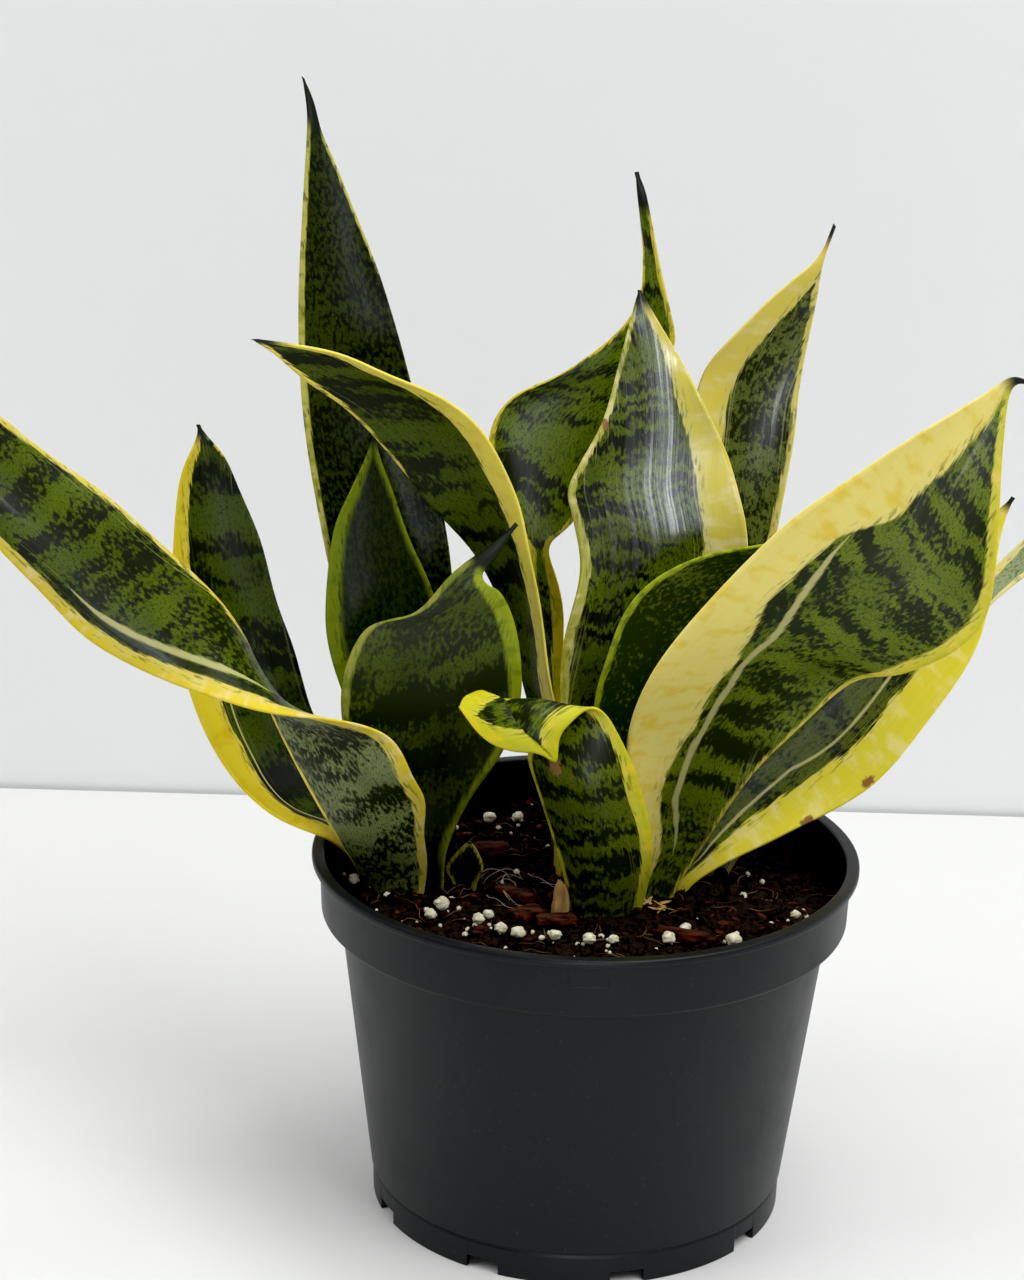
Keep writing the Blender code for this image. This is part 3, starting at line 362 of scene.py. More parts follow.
def blade_skin(tree, look):
    """A blade's skin: margins, lengthwise stripes, jagged bands, mottles and fine ridges. Gives its colour,
    where its margin is, its streaks and its height."""
    across, along = attribute(tree, "across"), attribute(tree, "along")

    def noise(across_size, along_size, shift, detail=2.0, lengthwise=along):
        return grain(across, lengthwise, across_size, along_size, look["seed"] + shift, detail)

    # the line between the margin and the green, torn lengthwise
    torn = plus(centred(noise(0.6, 9, 1.0, 4.0), 2.6), centred(noise(3.5, 26, 2.0), 1.8))
    edge = plus(attribute(tree, "inside"), times(torn, look["soft"]))
    green = step(over(edge, look["blend"]), -0.25, 0.3)
    # bands across: heights shaken from vein to vein, then cut
    shaken = plus(along, centred(noise(0.8, 12, 3.0, 3.0), 6.5))
    shaken = plus(shaken, centred(noise(6, 14, 4.0), 11.0))
    shaken = plus(shaken, times(across, look["slant"]))
    bands = noise(24, look["band"], 5.0, 1.5, shaken)
    blotches = noise(1.2, 2.0, 6.0, 4.0)
    level = plus(times(centred(bands, 1.0), look["banding"]),
                 times(centred(blotches, 1.1), 1.25 - look["banding"]))
    light = step(plus(level, look["cover"]), 0.43, 0.56)
    light = times(light, step(noise(0.35, 0.9, 7.0, 3.0), 0.26, 0.52))
    broad = step(noise(14, 24, 17.0, 1.0), 0.3, 0.6)
    light = times(light, plus(times(broad, 0.3), 0.7))
    # the paler outer face
    outer = maths("ABSOLUTE", minus(minus(1.0, attribute(tree, "back")), look["outer_is_back"]))
    dark_tone = mixed(outer, look["dark"], look["outer_dark"])
    light_tone = mixed(outer, look["light"], look["outer_light"])
    skin = mixed(light, dark_tone, light_tone)
    # thin lines beside the margin
    pins = step(noise(0.55, 90, 8.0), 0.6, 0.66)
    beside = minus(1.0, step(edge, 1.0, 5.0))
    skin = mixed(times(times(pins, beside), look["fringe"]), skin, PALE)
    # stripes
    for name, colour in (("pale", PALE), ("deep", look["dark"])):
        offset = maths("ABSOLUTE", attribute(tree, name + "_stripe"))
        offset = plus(offset, centred(noise(0.7, 9, 9.0, 4.0), 1.6))
        stripe = minus(1.0, step(offset, 0.55, 1.25))
        skin = mixed(times(stripe, 0.82), skin, colour)
    # the margin: mottled, with a paler fringe and green flecks on its inner side
    mottle = step(noise(8.0, 4.5, 10.0, 3.0), 0.46, 0.70)
    lines = centred(noise(1.3, 60, 11.0), 0.7)
    edge_tone, mottle_tone = look["edge"]
    left_tone, right_tone = look.get("left_edge", edge_tone), look.get("right_edge", edge_tone)
    sided = mixed(step(across, -0.5, 0.5), left_tone, right_tone)
    margin = mixed(maths("ADD", mottle, lines, clamp=True), sided, mottle_tone)
    inner_side = step(edge, -3.4, -0.3)
    margin = mixed(times(inner_side, look["fringe"]), margin, PALE)
    flecks = times(step(noise(1.0, 5.0, 12.0, 3.0), 0.55, 0.64), inner_side)
    margin = mixed(times(flecks, 0.75), margin, look["light"])
    colour = mixed(green, margin, skin)
    # darker spike at the tip and a dull olive foot
    tip = step(minus(attribute(tree, "share"), look["tip"]), 0.0, 0.03)
    colour = mixed(tip, colour, SPIKE)
    foot = minus(1.0, step(along, 2.0, look["foot"]))
    colour = mixed(times(foot, 0.45), colour, FOOT)
    ridges = plus(times(noise(0.9, 70, 14.0, 2.0), 0.8), times(noise(0.3, 0.5, 15.0), 0.2))
    # torn dry spots: ragged ellipses
    for number, (scar_along, scar_across, size) in enumerate(look["scars"]):
        sideways = minus(across, scar_across)
        lengthwise = times(minus(along, scar_along), 0.6)
        far = maths("SQRT", plus(times(sideways, sideways), times(lengthwise, lengthwise)))
        ragged = grain(across, along, 0.8, 1.2, look["seed"] + number, 3.0)
        far = plus(over(far, size), minus(ragged, 0.5))
        colour = mixed(minus(1.0, step(far, 0.6, 1.0)), colour, SCAR)
    return colour, minus(1.0, green), noise(1.6, 90, 13.0, 3.0), ridges


def new_material(name):
    made = bpy.data.materials.new(name)
    made.use_nodes = True
    return made, made.node_tree, made.node_tree.nodes["Principled BSDF"]


def leaf_material(name, look):
    made, tree, shader = new_material(name)
    colour, margin, streak, height = blade_skin(tree, look)
    rough = plus(times(streak, 0.35), look["shine"] - 0.12)
    bump = node(tree, "ShaderNodeBump", {"Height": height, "Strength": 0.35, "Distance": 0.0002})
    fill(shader, {
        "Base Color": colour, "Roughness": plus(rough, times(margin, 0.08)),
        "Coat Weight": times(step(streak, 0.44, 0.66), look["coat"]), "Coat Roughness": 0.2,
        "Normal": bump.outputs[0], "Specular IOR Level": look["gloss"]})
    return made


# ---------------------------------------------------------------- surfaces
def add_object(name, data):
    made = bpy.data.objects.new(name, data)
    bpy.context.scene.collection.objects.link(made)
    return made


def add_mesh(name, points, faces, finish):
    mesh = bpy.data.meshes.new(name)
    mesh.from_pydata(points, [], faces)
    mesh.materials.append(finish)
    return add_object(name, mesh)


def put_in(name, points, faces, finish):
    """Put a piece of the plant in: points in metres, faces as rows of corner numbers, all smooth."""
    made = add_mesh(name, points.tolist(), faces, finish)
    made.data.polygons.foreach_set("use_smooth", np.ones(len(faces), bool))
    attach(made, "root")
    return made


def grid_faces(rows, columns, around=False):
    """The quads of a grid of points, row by row; around joins its last column to its first."""
    row = np.arange(rows - 1)[:, None] * columns
    column = np.arange(columns if around else columns - 1)
    after = (column + 1) % columns
    quads = [row + column, row + after, row + columns + after, row + columns + column]
    return np.stack(quads, axis=-1).reshape(-1, 4).tolist()


def along_curve(points, places):
    """Read a smooth curve through the points (Catmull-Rom) at places counted in points."""
    points = np.asarray(points, float)
    last = len(points) - 1
    first = np.clip(np.floor(places).astype(int), 0, last - 1)
    t = (places - first)[:, None]
    before, start = points[np.maximum(first - 1, 0)], points[first]
    end, after = points[first + 1], points[np.minimum(first + 2, last)]
    return 0.5 * (2 * start + (end - before) * t + (2 * before - 5 * start + 4 * end - after) * t ** 2
                  + (3 * start - before - 3 * end + after) * t ** 3)


def eased(values):
    """Each row moved to 1/2 of itself and 1/4 of each neighbour, EASINGS times, the ends kept."""
    for _ in range(EASINGS):
        values[1:-1] = 0.25 * values[:-2] + 0.5 * values[1:-1] + 0.25 * values[2:]
    return values


def unit(vectors):
    return vectors / np.maximum(np.linalg.norm(vectors, axis=-1, keepdims=True), 1e-9)


def blade_sections(stations):
    """Left edge, right edge and set-back at even steps along the blade, read from a smooth curve through
    the stations, from its buried foot (FOOT_SHARE as wide as at the soil) to its tip."""
    table = np.array(stations, float)
    left, right, depth = table[:, :3], table[:, 3:6], table[:, 6]
    middle = (left[0] + right[0]) / 2
    down = np.array([0, 0, -BURIED_DEPTH])
    left = np.vstack([middle + FOOT_SHARE * (left[0] - middle) + down, left])
    right = np.vstack([middle + FOOT_SHARE * (right[0] - middle) + down, right])
    depth = np.concatenate([[depth[0]], depth])
    steps = np.linalg.norm(np.diff((left + right) / 2, axis=0), axis=1)
    length = np.concatenate([[0], np.cumsum(steps)])
    evenly = np.linspace(0, length[-1], BLADE_ROWS)
    places = np.interp(evenly, length, np.arange(len(length)))
    lengthwise = evenly - BURIED_DEPTH
    return (eased(along_curve(left, places)), eased(along_curve(right, places)),
            eased(along_curve(depth[:, None], places)), lengthwise, evenly / length[-1])


def make_blade(name, stations, look, finish):
    """A blade from its sections.

    Its middle surface runs from the left edge to the right edge, set back by depth times (1 - across²),
    with a wave of the look's ripple times sin(length / RIPPLE_LENGTH) times across⁴, which fades out at
    both ends. The two faces lie half a thickness to either side of it, the thickness falling from the
    middle to the edges as (1 - across²), and a point halfway between the faces rounds each edge. The
    ends are closed with one face each. Its skin reads what is measured at each point: millimetres across,
    along and inside the margin, share of the length, which face, and half widths away from each stripe.
    """
    left, right, depth, lengthwise, share = blade_sections(stations)
    chord = right - left
    width = np.linalg.norm(chord, axis=1, keepdims=True)
    middle_line = (left + right) / 2
    sideways = unit(np.where(width > NARROWEST, chord, chord[np.argmin(width > NARROWEST) - 1]))
    width = np.maximum(width, MARGIN_THICKNESS)
    chord = sideways * width
    facing = unit(np.cross(chord, np.gradient(middle_line, axis=0)))
    across = np.sin(np.linspace(-np.pi / 2, np.pi / 2, BLADE_COLUMNS))
    across = 0.5 * across + 0.5 * np.linspace(-1, 1, BLADE_COLUMNS)
    a = across[None, :, None]
    surface = middle_line[:, None] + a * chord[:, None] / 2 - (1 - a ** 2) * depth[:, None] * facing[:, None]
    fade = np.clip(share * 4, 0, 1) * np.clip((1 - share) * 6, 0, 1)
    phase = lengthwise / RIPPLE_LENGTH + look["seed"]
    wave = np.where(across < 0, np.sin(phase)[:, None], np.sin(1.3 * phase + 1)[:, None])
    wave = look["ripple"] * wave * fade[:, None] * np.abs(across) ** 4
    surface = surface + wave[:, :, None] * facing[:, None]
    normal = unit(np.cross(np.gradient(surface, axis=1), np.gradient(surface, axis=0)))
    middle = BLADE_THICKNESS + (TIP_THICKNESS - BLADE_THICKNESS) * share
    middle = np.minimum(middle, MARGIN_THICKNESS + 0.1 * width[:, 0])[:, None]
    thickness = MARGIN_THICKNESS + (middle - MARGIN_THICKNESS) * (1 - across[None] ** 2)
    offset = normal * thickness[:, :, None] / 2
    front, back = surface + offset, surface - offset
    outward = unit(chord)[:, None] * MARGIN_THICKNESS / 3
    ring = np.concatenate([front, surface[:, -1:] + outward, back[:, ::-1], surface[:, :1] - outward], axis=1)
    faces = [face[::-1] for face in closed_grid(*ring.shape[:2])]
    points = ring.reshape(-1, 3) * MM + np.array([0, 0, SOIL_LEVEL])
    made = put_in(name + "_blade", points, faces, finish)

    places = np.concatenate([across, [1], across[::-1], [-1]])[None]
    from_edge = {"left": (places + 1) / 2 * width, "right": (1 - places) / 2 * width}
    past_margin = {side: counted - np.interp(share, *zip(*look[side]))[:, None]
                   for side, counted in from_edge.items()}
    everywhere = np.ones_like(from_edge["left"])
    fields = {
        "across": places * width / 2, "along": lengthwise[:, None] * everywhere,
        "inside": np.minimum(past_margin["left"], past_margin["right"]), "share": share[:, None] * everywhere,
        "back": np.concatenate([0 * across, [0.5], 0 * across + 1, [0.5]])[None] * everywhere,
        "pale_stripe": NO_STRIPE * everywhere, "deep_stripe": NO_STRIPE * everywhere,
    }
    for stripe in ("pale", "deep"):
        if stripe in look:
            edge, offsets, half = look[stripe]
            middle_of_stripe = np.interp(share, *zip(*offsets))
            taper = np.clip((share - offsets[0][0]) * 14, 0, 1) * np.clip((offsets[-1][0] - share) * 14, 0, 1)
            half_here = np.maximum(half * taper, 0.004)[:, None]
            fields[stripe + "_stripe"] = (from_edge[edge] - middle_of_stripe[:, None]) / half_here
    for key, values in fields.items():
        layer = made.data.attributes.new(key, "FLOAT", "POINT")
        layer.data.foreach_set("value", np.ascontiguousarray(values, np.float32).ravel())
    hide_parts(name)
    return made


# ---------------------------------------------------------------- soil, grains and fibres
LATTICE = 256
SOIL_POINTS = 290
# Radius and height of the soil's skirt, below its rim and at the pot's floor.
SOIL_SKIRT = ((0.0722, 0.0915), (0.0608, 0.0071))
CRUMBS = 3600
BIG_CRUMBS = 500
CHIPS = 150
FIBRES = 110
SCRAPS = 16
HAIRS = 9
STRAND_POINTS = 18
STRAND_SIDES = 5


def lumps(x, y, cell, seed):
    """Smooth random heights from -1 to 1: a random number at each corner of a square lattice, blended
    between the corners with 3t² - 2t³."""
    table = np.random.default_rng(seed).uniform(-1, 1, (LATTICE, LATTICE))
    gx, gy = x / cell, y / cell
    ix, iy = np.floor(gx).astype(int), np.floor(gy).astype(int)
    tx, ty = gx - ix, gy - iy
    tx, ty = tx * tx * (3 - 2 * tx), ty * ty * (3 - 2 * ty)
    ix, iy, jx, jy = ix % LATTICE, iy % LATTICE, (ix + 1) % LATTICE, (iy + 1) % LATTICE
    low = table[ix, iy] * (1 - tx) + table[jx, iy] * tx
    high = table[ix, jy] * (1 - tx) + table[jx, jy] * tx
    return low * (1 - ty) + high * ty


def soil_base(x, y):
    """The soil's slow humps: three waves, flat at the pot's wall."""
    radius = np.hypot(x, y) / SOIL_RADIUS
    waves = np.sin(95 * x + 1.3) + np.sin(120 * y - 80 * x) + np.sin(150 * x + 110 * y + 0.7)
    return SOIL_LEVEL + SOIL_RELIEF * waves / 3 * np.clip(1.4 - 1.4 * radius, 0, 1)


def soil_top(x, y):
    """The soil's surface: its humps and four sizes of crumb, the finest 0.7 mm across."""
    crumbs = 0.9 * lumps(x, y, 0.0075, 1) + 0.8 * lumps(x, y, 0.0032, 2)
    crumbs += 0.55 * np.abs(lumps(x, y, 0.0016, 3)) + 0.3 * lumps(x, y, 0.0008, 4)
    return soil_base(x, y) + MM * (crumbs - 0.5)


def make_soil(finish):
    """The soil: a disc of points in even squares bent to a circle, raised by soil_top, with a skirt that
    follows the pot's inside down to its floor and a closing face below."""
    side = np.linspace(-1, 1, SOIL_POINTS)
    u, v = np.meshgrid(side, side, indexing="ij")
    x = SOIL_RADIUS * u * np.sqrt(1 - v * v / 2)
    y = SOIL_RADIUS * v * np.sqrt(1 - u * u / 2)
    top = np.stack([x, y, soil_top(x, y)], axis=-1).reshape(-1, 3)
    faces = np.array(grid_faces(SOIL_POINTS, SOIL_POINTS))[:, ::-1].tolist()
    index = np.arange(SOIL_POINTS ** 2).reshape(SOIL_POINTS, SOIL_POINTS)
    rim = np.concatenate([index[:-1, 0], index[-1, :-1], index[:0:-1, -1], index[0, :0:-1]])
    points, last, start = [top], rim, len(top)
    for radius, height in SOIL_SKIRT:
        direction = top[rim, :2] / np.linalg.norm(top[rim, :2], axis=1, keepdims=True)
        points.append(np.hstack([direction * radius, np.full((len(rim), 1), height)]))
        here = np.arange(start, start + len(rim))
        after, after_last = np.roll(here, -1), np.roll(last, -1)
        faces += np.stack([last, here, after, after_last], axis=-1).tolist()
        start, last = start + len(rim), here
    faces.append(last[::-1].tolist())
    made = put_in("soil_surface", np.vstack(points), faces, finish)
    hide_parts("soil")


def ball_points(rows, columns):
    """Points of a unit ball, pole to pole, as (rows, columns, 3): each row a circle of latitude."""
    latitude = np.linspace(0.06, np.pi - 0.06, rows)[:, None]
    around = np.linspace(0, 2 * np.pi, columns, endpoint=False)[None]
    return np.stack([np.sin(latitude) * np.cos(around), np.sin(latitude) * np.sin(around),
                     np.cos(latitude) + 0 * around], axis=-1)


def closed_grid(rows, columns):
    """The faces of a tube of points, row by row, with one face across each end."""
    faces = np.array(grid_faces(rows, columns, around=True))[:, ::-1].tolist()
    faces.append(list(range(columns)))
    faces.append([(rows - 1) * columns + i for i in range(columns)][::-1])
    return faces


def shifted(faces, start):
    return [[corner + start for corner in face] for face in faces]


def turned_to(points, heading, tilt=0.0, roll=0.0):
    """The points turned about x by roll, about y by tilt and about z by heading, in radians."""
    cr, sr, ct, st = math.cos(roll), math.sin(roll), math.cos(tilt), math.sin(tilt)
    ch, sh = math.cos(heading), math.sin(heading)
    about_x = np.array([[1, 0, 0], [0, cr, -sr], [0, sr, cr]])
    about_y = np.array([[ct, 0, st], [0, 1, 0], [-st, 0, ct]])
    about_z = np.array([[ch, -sh, 0], [sh, ch, 0], [0, 0, 1]])
    return points @ (about_z @ about_y @ about_x).T


def scatter(name, x, y, lift, sizes, seed, finish, rows=4, columns=6, roughness=0.2):
    """Many small lumps in one piece: each a ball of a few faces, stretched to its size, its points pushed
    in and out at random, turned at random and set down on the soil."""
    random = np.random.default_rng(seed)
    ball, ball_faces = ball_points(rows, columns), closed_grid(rows, columns)
    points, faces = [], []
    for x_here, y_here, size in zip(x, y, sizes):
        lump = ball * (1 + random.uniform(-roughness, roughness, ball.shape[:2] + (1,)))
        lump = turned_to(lump.reshape(-1, 3) * size, random.uniform(0, 6.3), random.uniform(-0.5, 0.5),
                         random.uniform(-0.5, 0.5))
        faces += shifted(ball_faces, len(points) * rows * columns)
        points.append(lump + np.array([x_here, y_here, float(soil_top(x_here, y_here)) + lift]))
    put_in(name, np.vstack(points), faces, finish)


def strands(name, lines, radius, finish):
    """Thin threads in one piece: a five-sided tube swept along each line, narrowing to its closed ends."""
    points, faces = [], []
    angles = np.linspace(0, 2 * np.pi, STRAND_SIDES, endpoint=False)[None, :, None]
    narrowing = np.sqrt(np.clip(np.sin(np.linspace(0.15, np.pi - 0.15, STRAND_POINTS)), 0.1, 1))
    for number, line in enumerate(lines):
        line = along_curve(np.array(line), np.linspace(0, len(line) - 1, STRAND_POINTS))
        tangent = unit(np.gradient(line, axis=0))
        side = unit(np.cross(tangent, np.array([0.3, 0.2, 1.0])))
        around = np.cos(angles) * side[:, None] + np.sin(angles) * np.cross(tangent, side)[:, None]
        points.append((line[:, None] + radius * narrowing[:, None, None] * around).reshape(-1, 3))
        faces += shifted(closed_grid(STRAND_POINTS, STRAND_SIDES), number * STRAND_POINTS * STRAND_SIDES)
    put_in(name, np.vstack(points), faces, finish)


def wandering(x, y, heading, turn, stride, count, rise):
    """A line over the soil from (x, y): count points a stride apart, its heading turned a little at each
    point, and each point as far above the soil as rise(its number)."""
    line = []
    for number in range(count):
        line.append((x, y, float(soil_top(x, y)) + rise(number)))
        x, y = x + stride * math.cos(heading), y + stride * math.sin(heading)
        heading += turn
    return line


def on_soil(count, seed, reach=SOIL_RADIUS - 0.002):
    """Random places on the soil, even over its area."""
    random = np.random.default_rng(seed)
    radius, angle = reach * np.sqrt(random.uniform(0, 1, count)), random.uniform(0, 2 * np.pi, count)
    return radius * np.cos(angle), radius * np.sin(angle)


def make_crumbs(finish):
    random = np.random.default_rng(5)
    x, y = on_soil(CRUMBS, 6)
    sizes = MM * random.uniform(0.45, 1.0, CRUMBS)[:, None] * random.uniform(0.7, 1.3, (CRUMBS, 3))
    sizes[:BIG_CRUMBS] *= 2.0
    scatter("soil_crumbs", x, y, 0, sizes, 7, finish, roughness=0.3)


# Each grain: where it lies (x, y) and its radius.
PERLITE = [
    (-42, -19, 2.6), (-45, -26, 1.9), (-31, -27, 2.0), (-28, -23, 1.7), (-24, -34, 2.0),
    (-19, -38, 2.3), (-8, -40, 2.0), (2, -42, 2.2), (9, -40, 1.7), (25, -38, 2.3),
    (30, -30, 1.8), (44, -38, 2.6), (63, -17, 1.7), (-70, -2, 2.0), (-31, 52, 2.2), (-22, 55, 1.8),
]

# Each chip: its heading in degrees and its size.
BARK = {
    "bark_long": (-18, (20, 5, 2.6)), "bark_left": (40, (11, 7, 3.0)), "bark_front": (15, (12, 6, 3.2)),
    "bark_middle": (-35, (14, 5, 2.8)), "bark_right": (60, (8, 4, 2.4)), "bark_back": (10, (12, 6, 2.6)),
}


def put_instead(made_name, name, points, faces, finish):
    """Put a small piece in the middle of the part that it replaces."""
    made = put_in(made_name, points + np.mean(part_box(name), axis=0), faces, finish)
    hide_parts(name)


def make_perlite(finish):
    """Each grain: a ball with two sizes of dents, 1 + 0.16 lumps + 0.05 finer lumps."""
    ball, faces = ball_points(22, 30), closed_grid(22, 30)
    for number, (_, _, radius) in enumerate(PERLITE):
        dents = lumps(ball[..., 0] + 3 * number, ball[..., 1] + ball[..., 2] * 1.7, 0.7, 20 + number)
        pores = lumps(ball[..., 0] * 1.3 + 7, ball[..., 1] - ball[..., 2], 0.22, 60 + number)
        points = (ball * (1 + 0.16 * dents + 0.05 * pores)[..., None]).reshape(-1, 3)
        put_instead(f"perlite_grain_{number + 1:02d}", f"perlite_{number + 1:02d}",
                    points * radius * MM * np.array([0.9, 0.82, 0.8]), faces, finish)


def make_bark(finish):
    """Each chip: a box-like ball (every coordinate to the power 0.45) with ridges along its length,
    1 + 0.07 lumps + 0.16 broader lumps."""
    ball, faces = ball_points(40, 36)[..., [2, 0, 1]], closed_grid(40, 36)
    boxy = np.sign(ball) * np.abs(ball) ** 0.45
    for number, (name, (heading, size)) in enumerate(BARK.items()):
        fibres = lumps(ball[..., 0] * 1.2, ball[..., 1] + 2 * ball[..., 2], 0.16, 80 + number)
        splits = lumps(ball[..., 0] * 3.0, ball[..., 1] * 2 + number, 0.8, 90 + number)
        points = (boxy * (1 + 0.07 * fibres + 0.16 * splits)[..., None]).reshape(-1, 3)
        points = turned_to(points * np.array(size) * MM / 2 * 0.92, math.radians(heading))
        put_instead(name + "_chip", name, points, faces, finish)


# ---------------------------------------------------------------- the pot
BAND_RADIUS = 0.0801
BAND_FOOT_RADIUS = 0.0795
BAND_BOTTOM = 0.0939
BODY_TOP_RADIUS = 0.0739
FOOT_RADIUS = 0.0636
FOOT_HEIGHT = 0.0100
FLOOR_HEIGHT = 0.0050
WALL = 0.0015
LIP_RADIUS = 0.0825
PAD_RADIUS = 0.0120
AXIS_RADIUS = 0.0004
INSIDE_FLOOR = 0.0068
DRAINS = math.radians(5) + 2 * np.pi * np.arange(9) / 9
NOTCH_TOP = 0.0040
NOTCH_HALF = 0.0105 / 2 / FOOT_RADIUS
SHARP_ANGLE = math.radians(50)
MARK_CORNERS = ((-0.0035, 0.1076), (-0.0035, 0.1034), (0.0080, 0.1034), (0.0080, 0.1076))


def rounded(corners):
    """A profile with its corners (radius, height, rounding) rounded: each arc is the quadratic curve
    (1 - t)² start + 2t(1 - t) corner + t² end between the points a rounding away from the corner."""
    out = []
    points = np.array([corner[:2] for corner in corners])
    for i, (r, z, rounding) in enumerate(corners):
        if rounding == 0 or i in (0, len(corners) - 1):
            out.append((r, z))
            continue
        here = points[i]
        before, after = unit(points[i - 1] - here), unit(points[i + 1] - here)
        for t in np.linspace(0, 1, 6):
            out.append(tuple((1 - t) ** 2 * (here + before * rounding) + 2 * t * (1 - t) * here
                             + t * t * (here + after * rounding)))
    return np.array(out)


def make_pot(finish):
    """The pot: a profile turned round its axis, from the middle of its inside floor over the lip and down
    to the pad in the middle of its underside. At the foot's notches, heights below a notch's top are
    raised to NOTCH_TOP + 0.05 times the height."""
    lip, foot = LIP_TOP, FOOT_RADIUS
    profile = rounded([
        (AXIS_RADIUS, INSIDE_FLOOR, 0), (0.0600, INSIDE_FLOOR, 0.001), (0.0724, BAND_BOTTOM, 0.001),
        (0.0780, BAND_BOTTOM + WALL, 0.001), (0.0786, lip, 0.0009), (LIP_RADIUS, lip, 0.0009),
        (LIP_RADIUS, lip - 0.0022, 0.0006), (BAND_RADIUS, lip - 0.0024, 0.0005),
        (BAND_FOOT_RADIUS, BAND_BOTTOM, 0.0012), (BODY_TOP_RADIUS, BAND_BOTTOM - 0.0008, 0.0011),
        (foot + 0.0001, FOOT_HEIGHT + 0.0004, 0.0004), (foot - 0.0007, FOOT_HEIGHT, 0.0003),
        (foot - 0.0007, FOOT_HEIGHT - 0.0006, 0.0003), (foot - 0.0004, FOOT_HEIGHT - 0.0012, 0.0003),
        (foot - 0.0006, 0, 0.0004), (foot - 0.0021, 0, 0.0004), (foot - 0.0021, FLOOR_HEIGHT, 0.0008),
        (PAD_RADIUS, FLOOR_HEIGHT, 0.0008), (PAD_RADIUS, 0, 0.0004), (AXIS_RADIUS, 0, 0),
    ])
    sides = [DRAINS + NOTCH_HALF * share for share in (-1.001, -0.985, 0.985, 1.001)]
    turn = np.concatenate([np.linspace(0, 2 * np.pi, ROUND_STEPS, endpoint=False), *sides])
    turn = np.sort(turn % (2 * np.pi))
    away = np.abs((turn[:, None] - DRAINS[None] + np.pi) % (2 * np.pi) - np.pi).min(axis=1)
    radius, height = profile[:, :1], profile[:, 1:]
    in_notch = (radius > 0.05) & (height < 0.0042) & (away < NOTCH_HALF * 0.99)[None]
    heights = np.where(in_notch, np.maximum(height, NOTCH_TOP + 0.05 * height), height)
    points = np.stack([radius * np.cos(turn), radius * np.sin(turn), heights], axis=-1).reshape(-1, 3)
    made = put_in("pot_shell", points, closed_grid(len(profile), len(turn)), finish)
    made.data.set_sharp_from_angle(angle=SHARP_ANGLE)
    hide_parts("pot")


def make_drain_mix(finish):
    """The mix that shows in the pot's drain holes: at each, a flat ball pressed against the underside."""
    ball, faces, points = ball_points(8, 24), [], []
    for number, turn in enumerate(DRAINS):
        centre = np.array([math.cos(turn), math.sin(turn), 0]) * (FOOT_RADIUS - 0.011) + [0, 0, FLOOR_HEIGHT]
        points.append((ball * MM * [3.5, 3.5, 0.25]).reshape(-1, 3) + centre)
        faces += shifted(closed_grid(8, 24), number * 8 * 24)
    put_in("drain_mix", np.vstack(points), faces, finish)


def band_point(sideways, height):
    """A point on the front of the pot's band, sideways along its curve."""
    turn = sideways / BAND_RADIUS - math.pi / 2
    radius = BAND_RADIUS - 0.0003
    return (radius * math.cos(turn), radius * math.sin(turn), height)


# ---------------------------------------------------------------- plain materials
def object_noise(tree, scale, detail=3.0, stretch=(1, 1, 1)):
    """Noise in the object's own coordinates; scale counts cells in a metre."""
    place = node(tree, "ShaderNodeTexCoord").outputs["Object"]
    place = node(tree, "ShaderNodeVectorMath", {0: place, 1: stretch}, operation="MULTIPLY").outputs[0]
    return node(tree, "ShaderNodeTexNoise", {"Vector": place, "Scale": scale, "Detail": detail}).outputs[0]


def plain_material(name, dark, light, scale, rough, bump, bump_scale, stretch=(1, 1, 1)):
    made, tree, shader = new_material(name)
    share = step(object_noise(tree, scale, 4.0, stretch), 0.35, 0.65)
    relief = node(tree, "ShaderNodeBump", {"Height": object_noise(tree, bump_scale, 4.0, stretch),
                                           "Strength": 0.6, "Distance": bump})
    fill(shader, {"Base Color": mixed(share, dark, light), "Roughness": rough, "Specular IOR Level": 0.08,
                  "Normal": relief.outputs[0]})
    return made


def pot_material():
    made, tree, shader = new_material("pot_plastic")
    worn = step(object_noise(tree, 60, 5.0), 0.45, 0.8)
    dust = step(object_noise(tree, 700, 3.0), 0.62, 0.8)
    colour = mixed(times(worn, 0.5), tone(10, 13, 17), tone(16, 19, 24))
    relief = node(tree, "ShaderNodeBump", {"Height": object_noise(tree, 1800, 3.0), "Strength": 0.25,
                                           "Distance": 0.0001})
    fill(shader, {"Base Color": mixed(times(dust, 0.18), colour, tone(96, 88, 78)),
                  "Roughness": plus(times(worn, 0.08), 0.42), "Specular IOR Level": 0.25,
                  "Normal": relief.outputs[0]})
    return made


# ---------------------------------------------------------------- the plant
for name, look in LOOKS.items():
    look = {**USUAL, **look}
    make_blade(name, BLADES[name], look, leaf_material(name + "_skin", look))

mix = plain_material("potting_mix", tone(11, 8, 7), tone(32, 24, 19), 420, 0.9, 0.0006, 1500)
crumb = plain_material("soil_crumb", tone(12, 9, 8), tone(40, 29, 22), 260, 0.85, 0.0004, 2500)
perlite = plain_material("perlite", tone(226, 222, 204), tone(196, 188, 150), 900, 0.9, 0.0003, 2600)
bark = plain_material("bark", tone(28, 13, 9), tone(78, 40, 27), 300, 0.8, 0.0004, 1400, (0.5, 1.5, 1.5))
papery = plain_material("dry_sheath", tone(150, 116, 66), tone(196, 160, 104), 260, 0.8, 0.0003, 1200,
                        (1.5, 1.5, 0.3))
root = plain_material("rhizome_skin", tone(150, 104, 58), tone(180, 140, 84), 300, 0.8, 0.0003, 900)
fibre = plain_material("root_fibre", tone(64, 44, 30), tone(112, 86, 60), 200, 0.8, 0.0001, 1500)
hair = plain_material("root_hair", tone(150, 140, 120), tone(190, 180, 160), 200, 0.8, 0.0001, 1500)

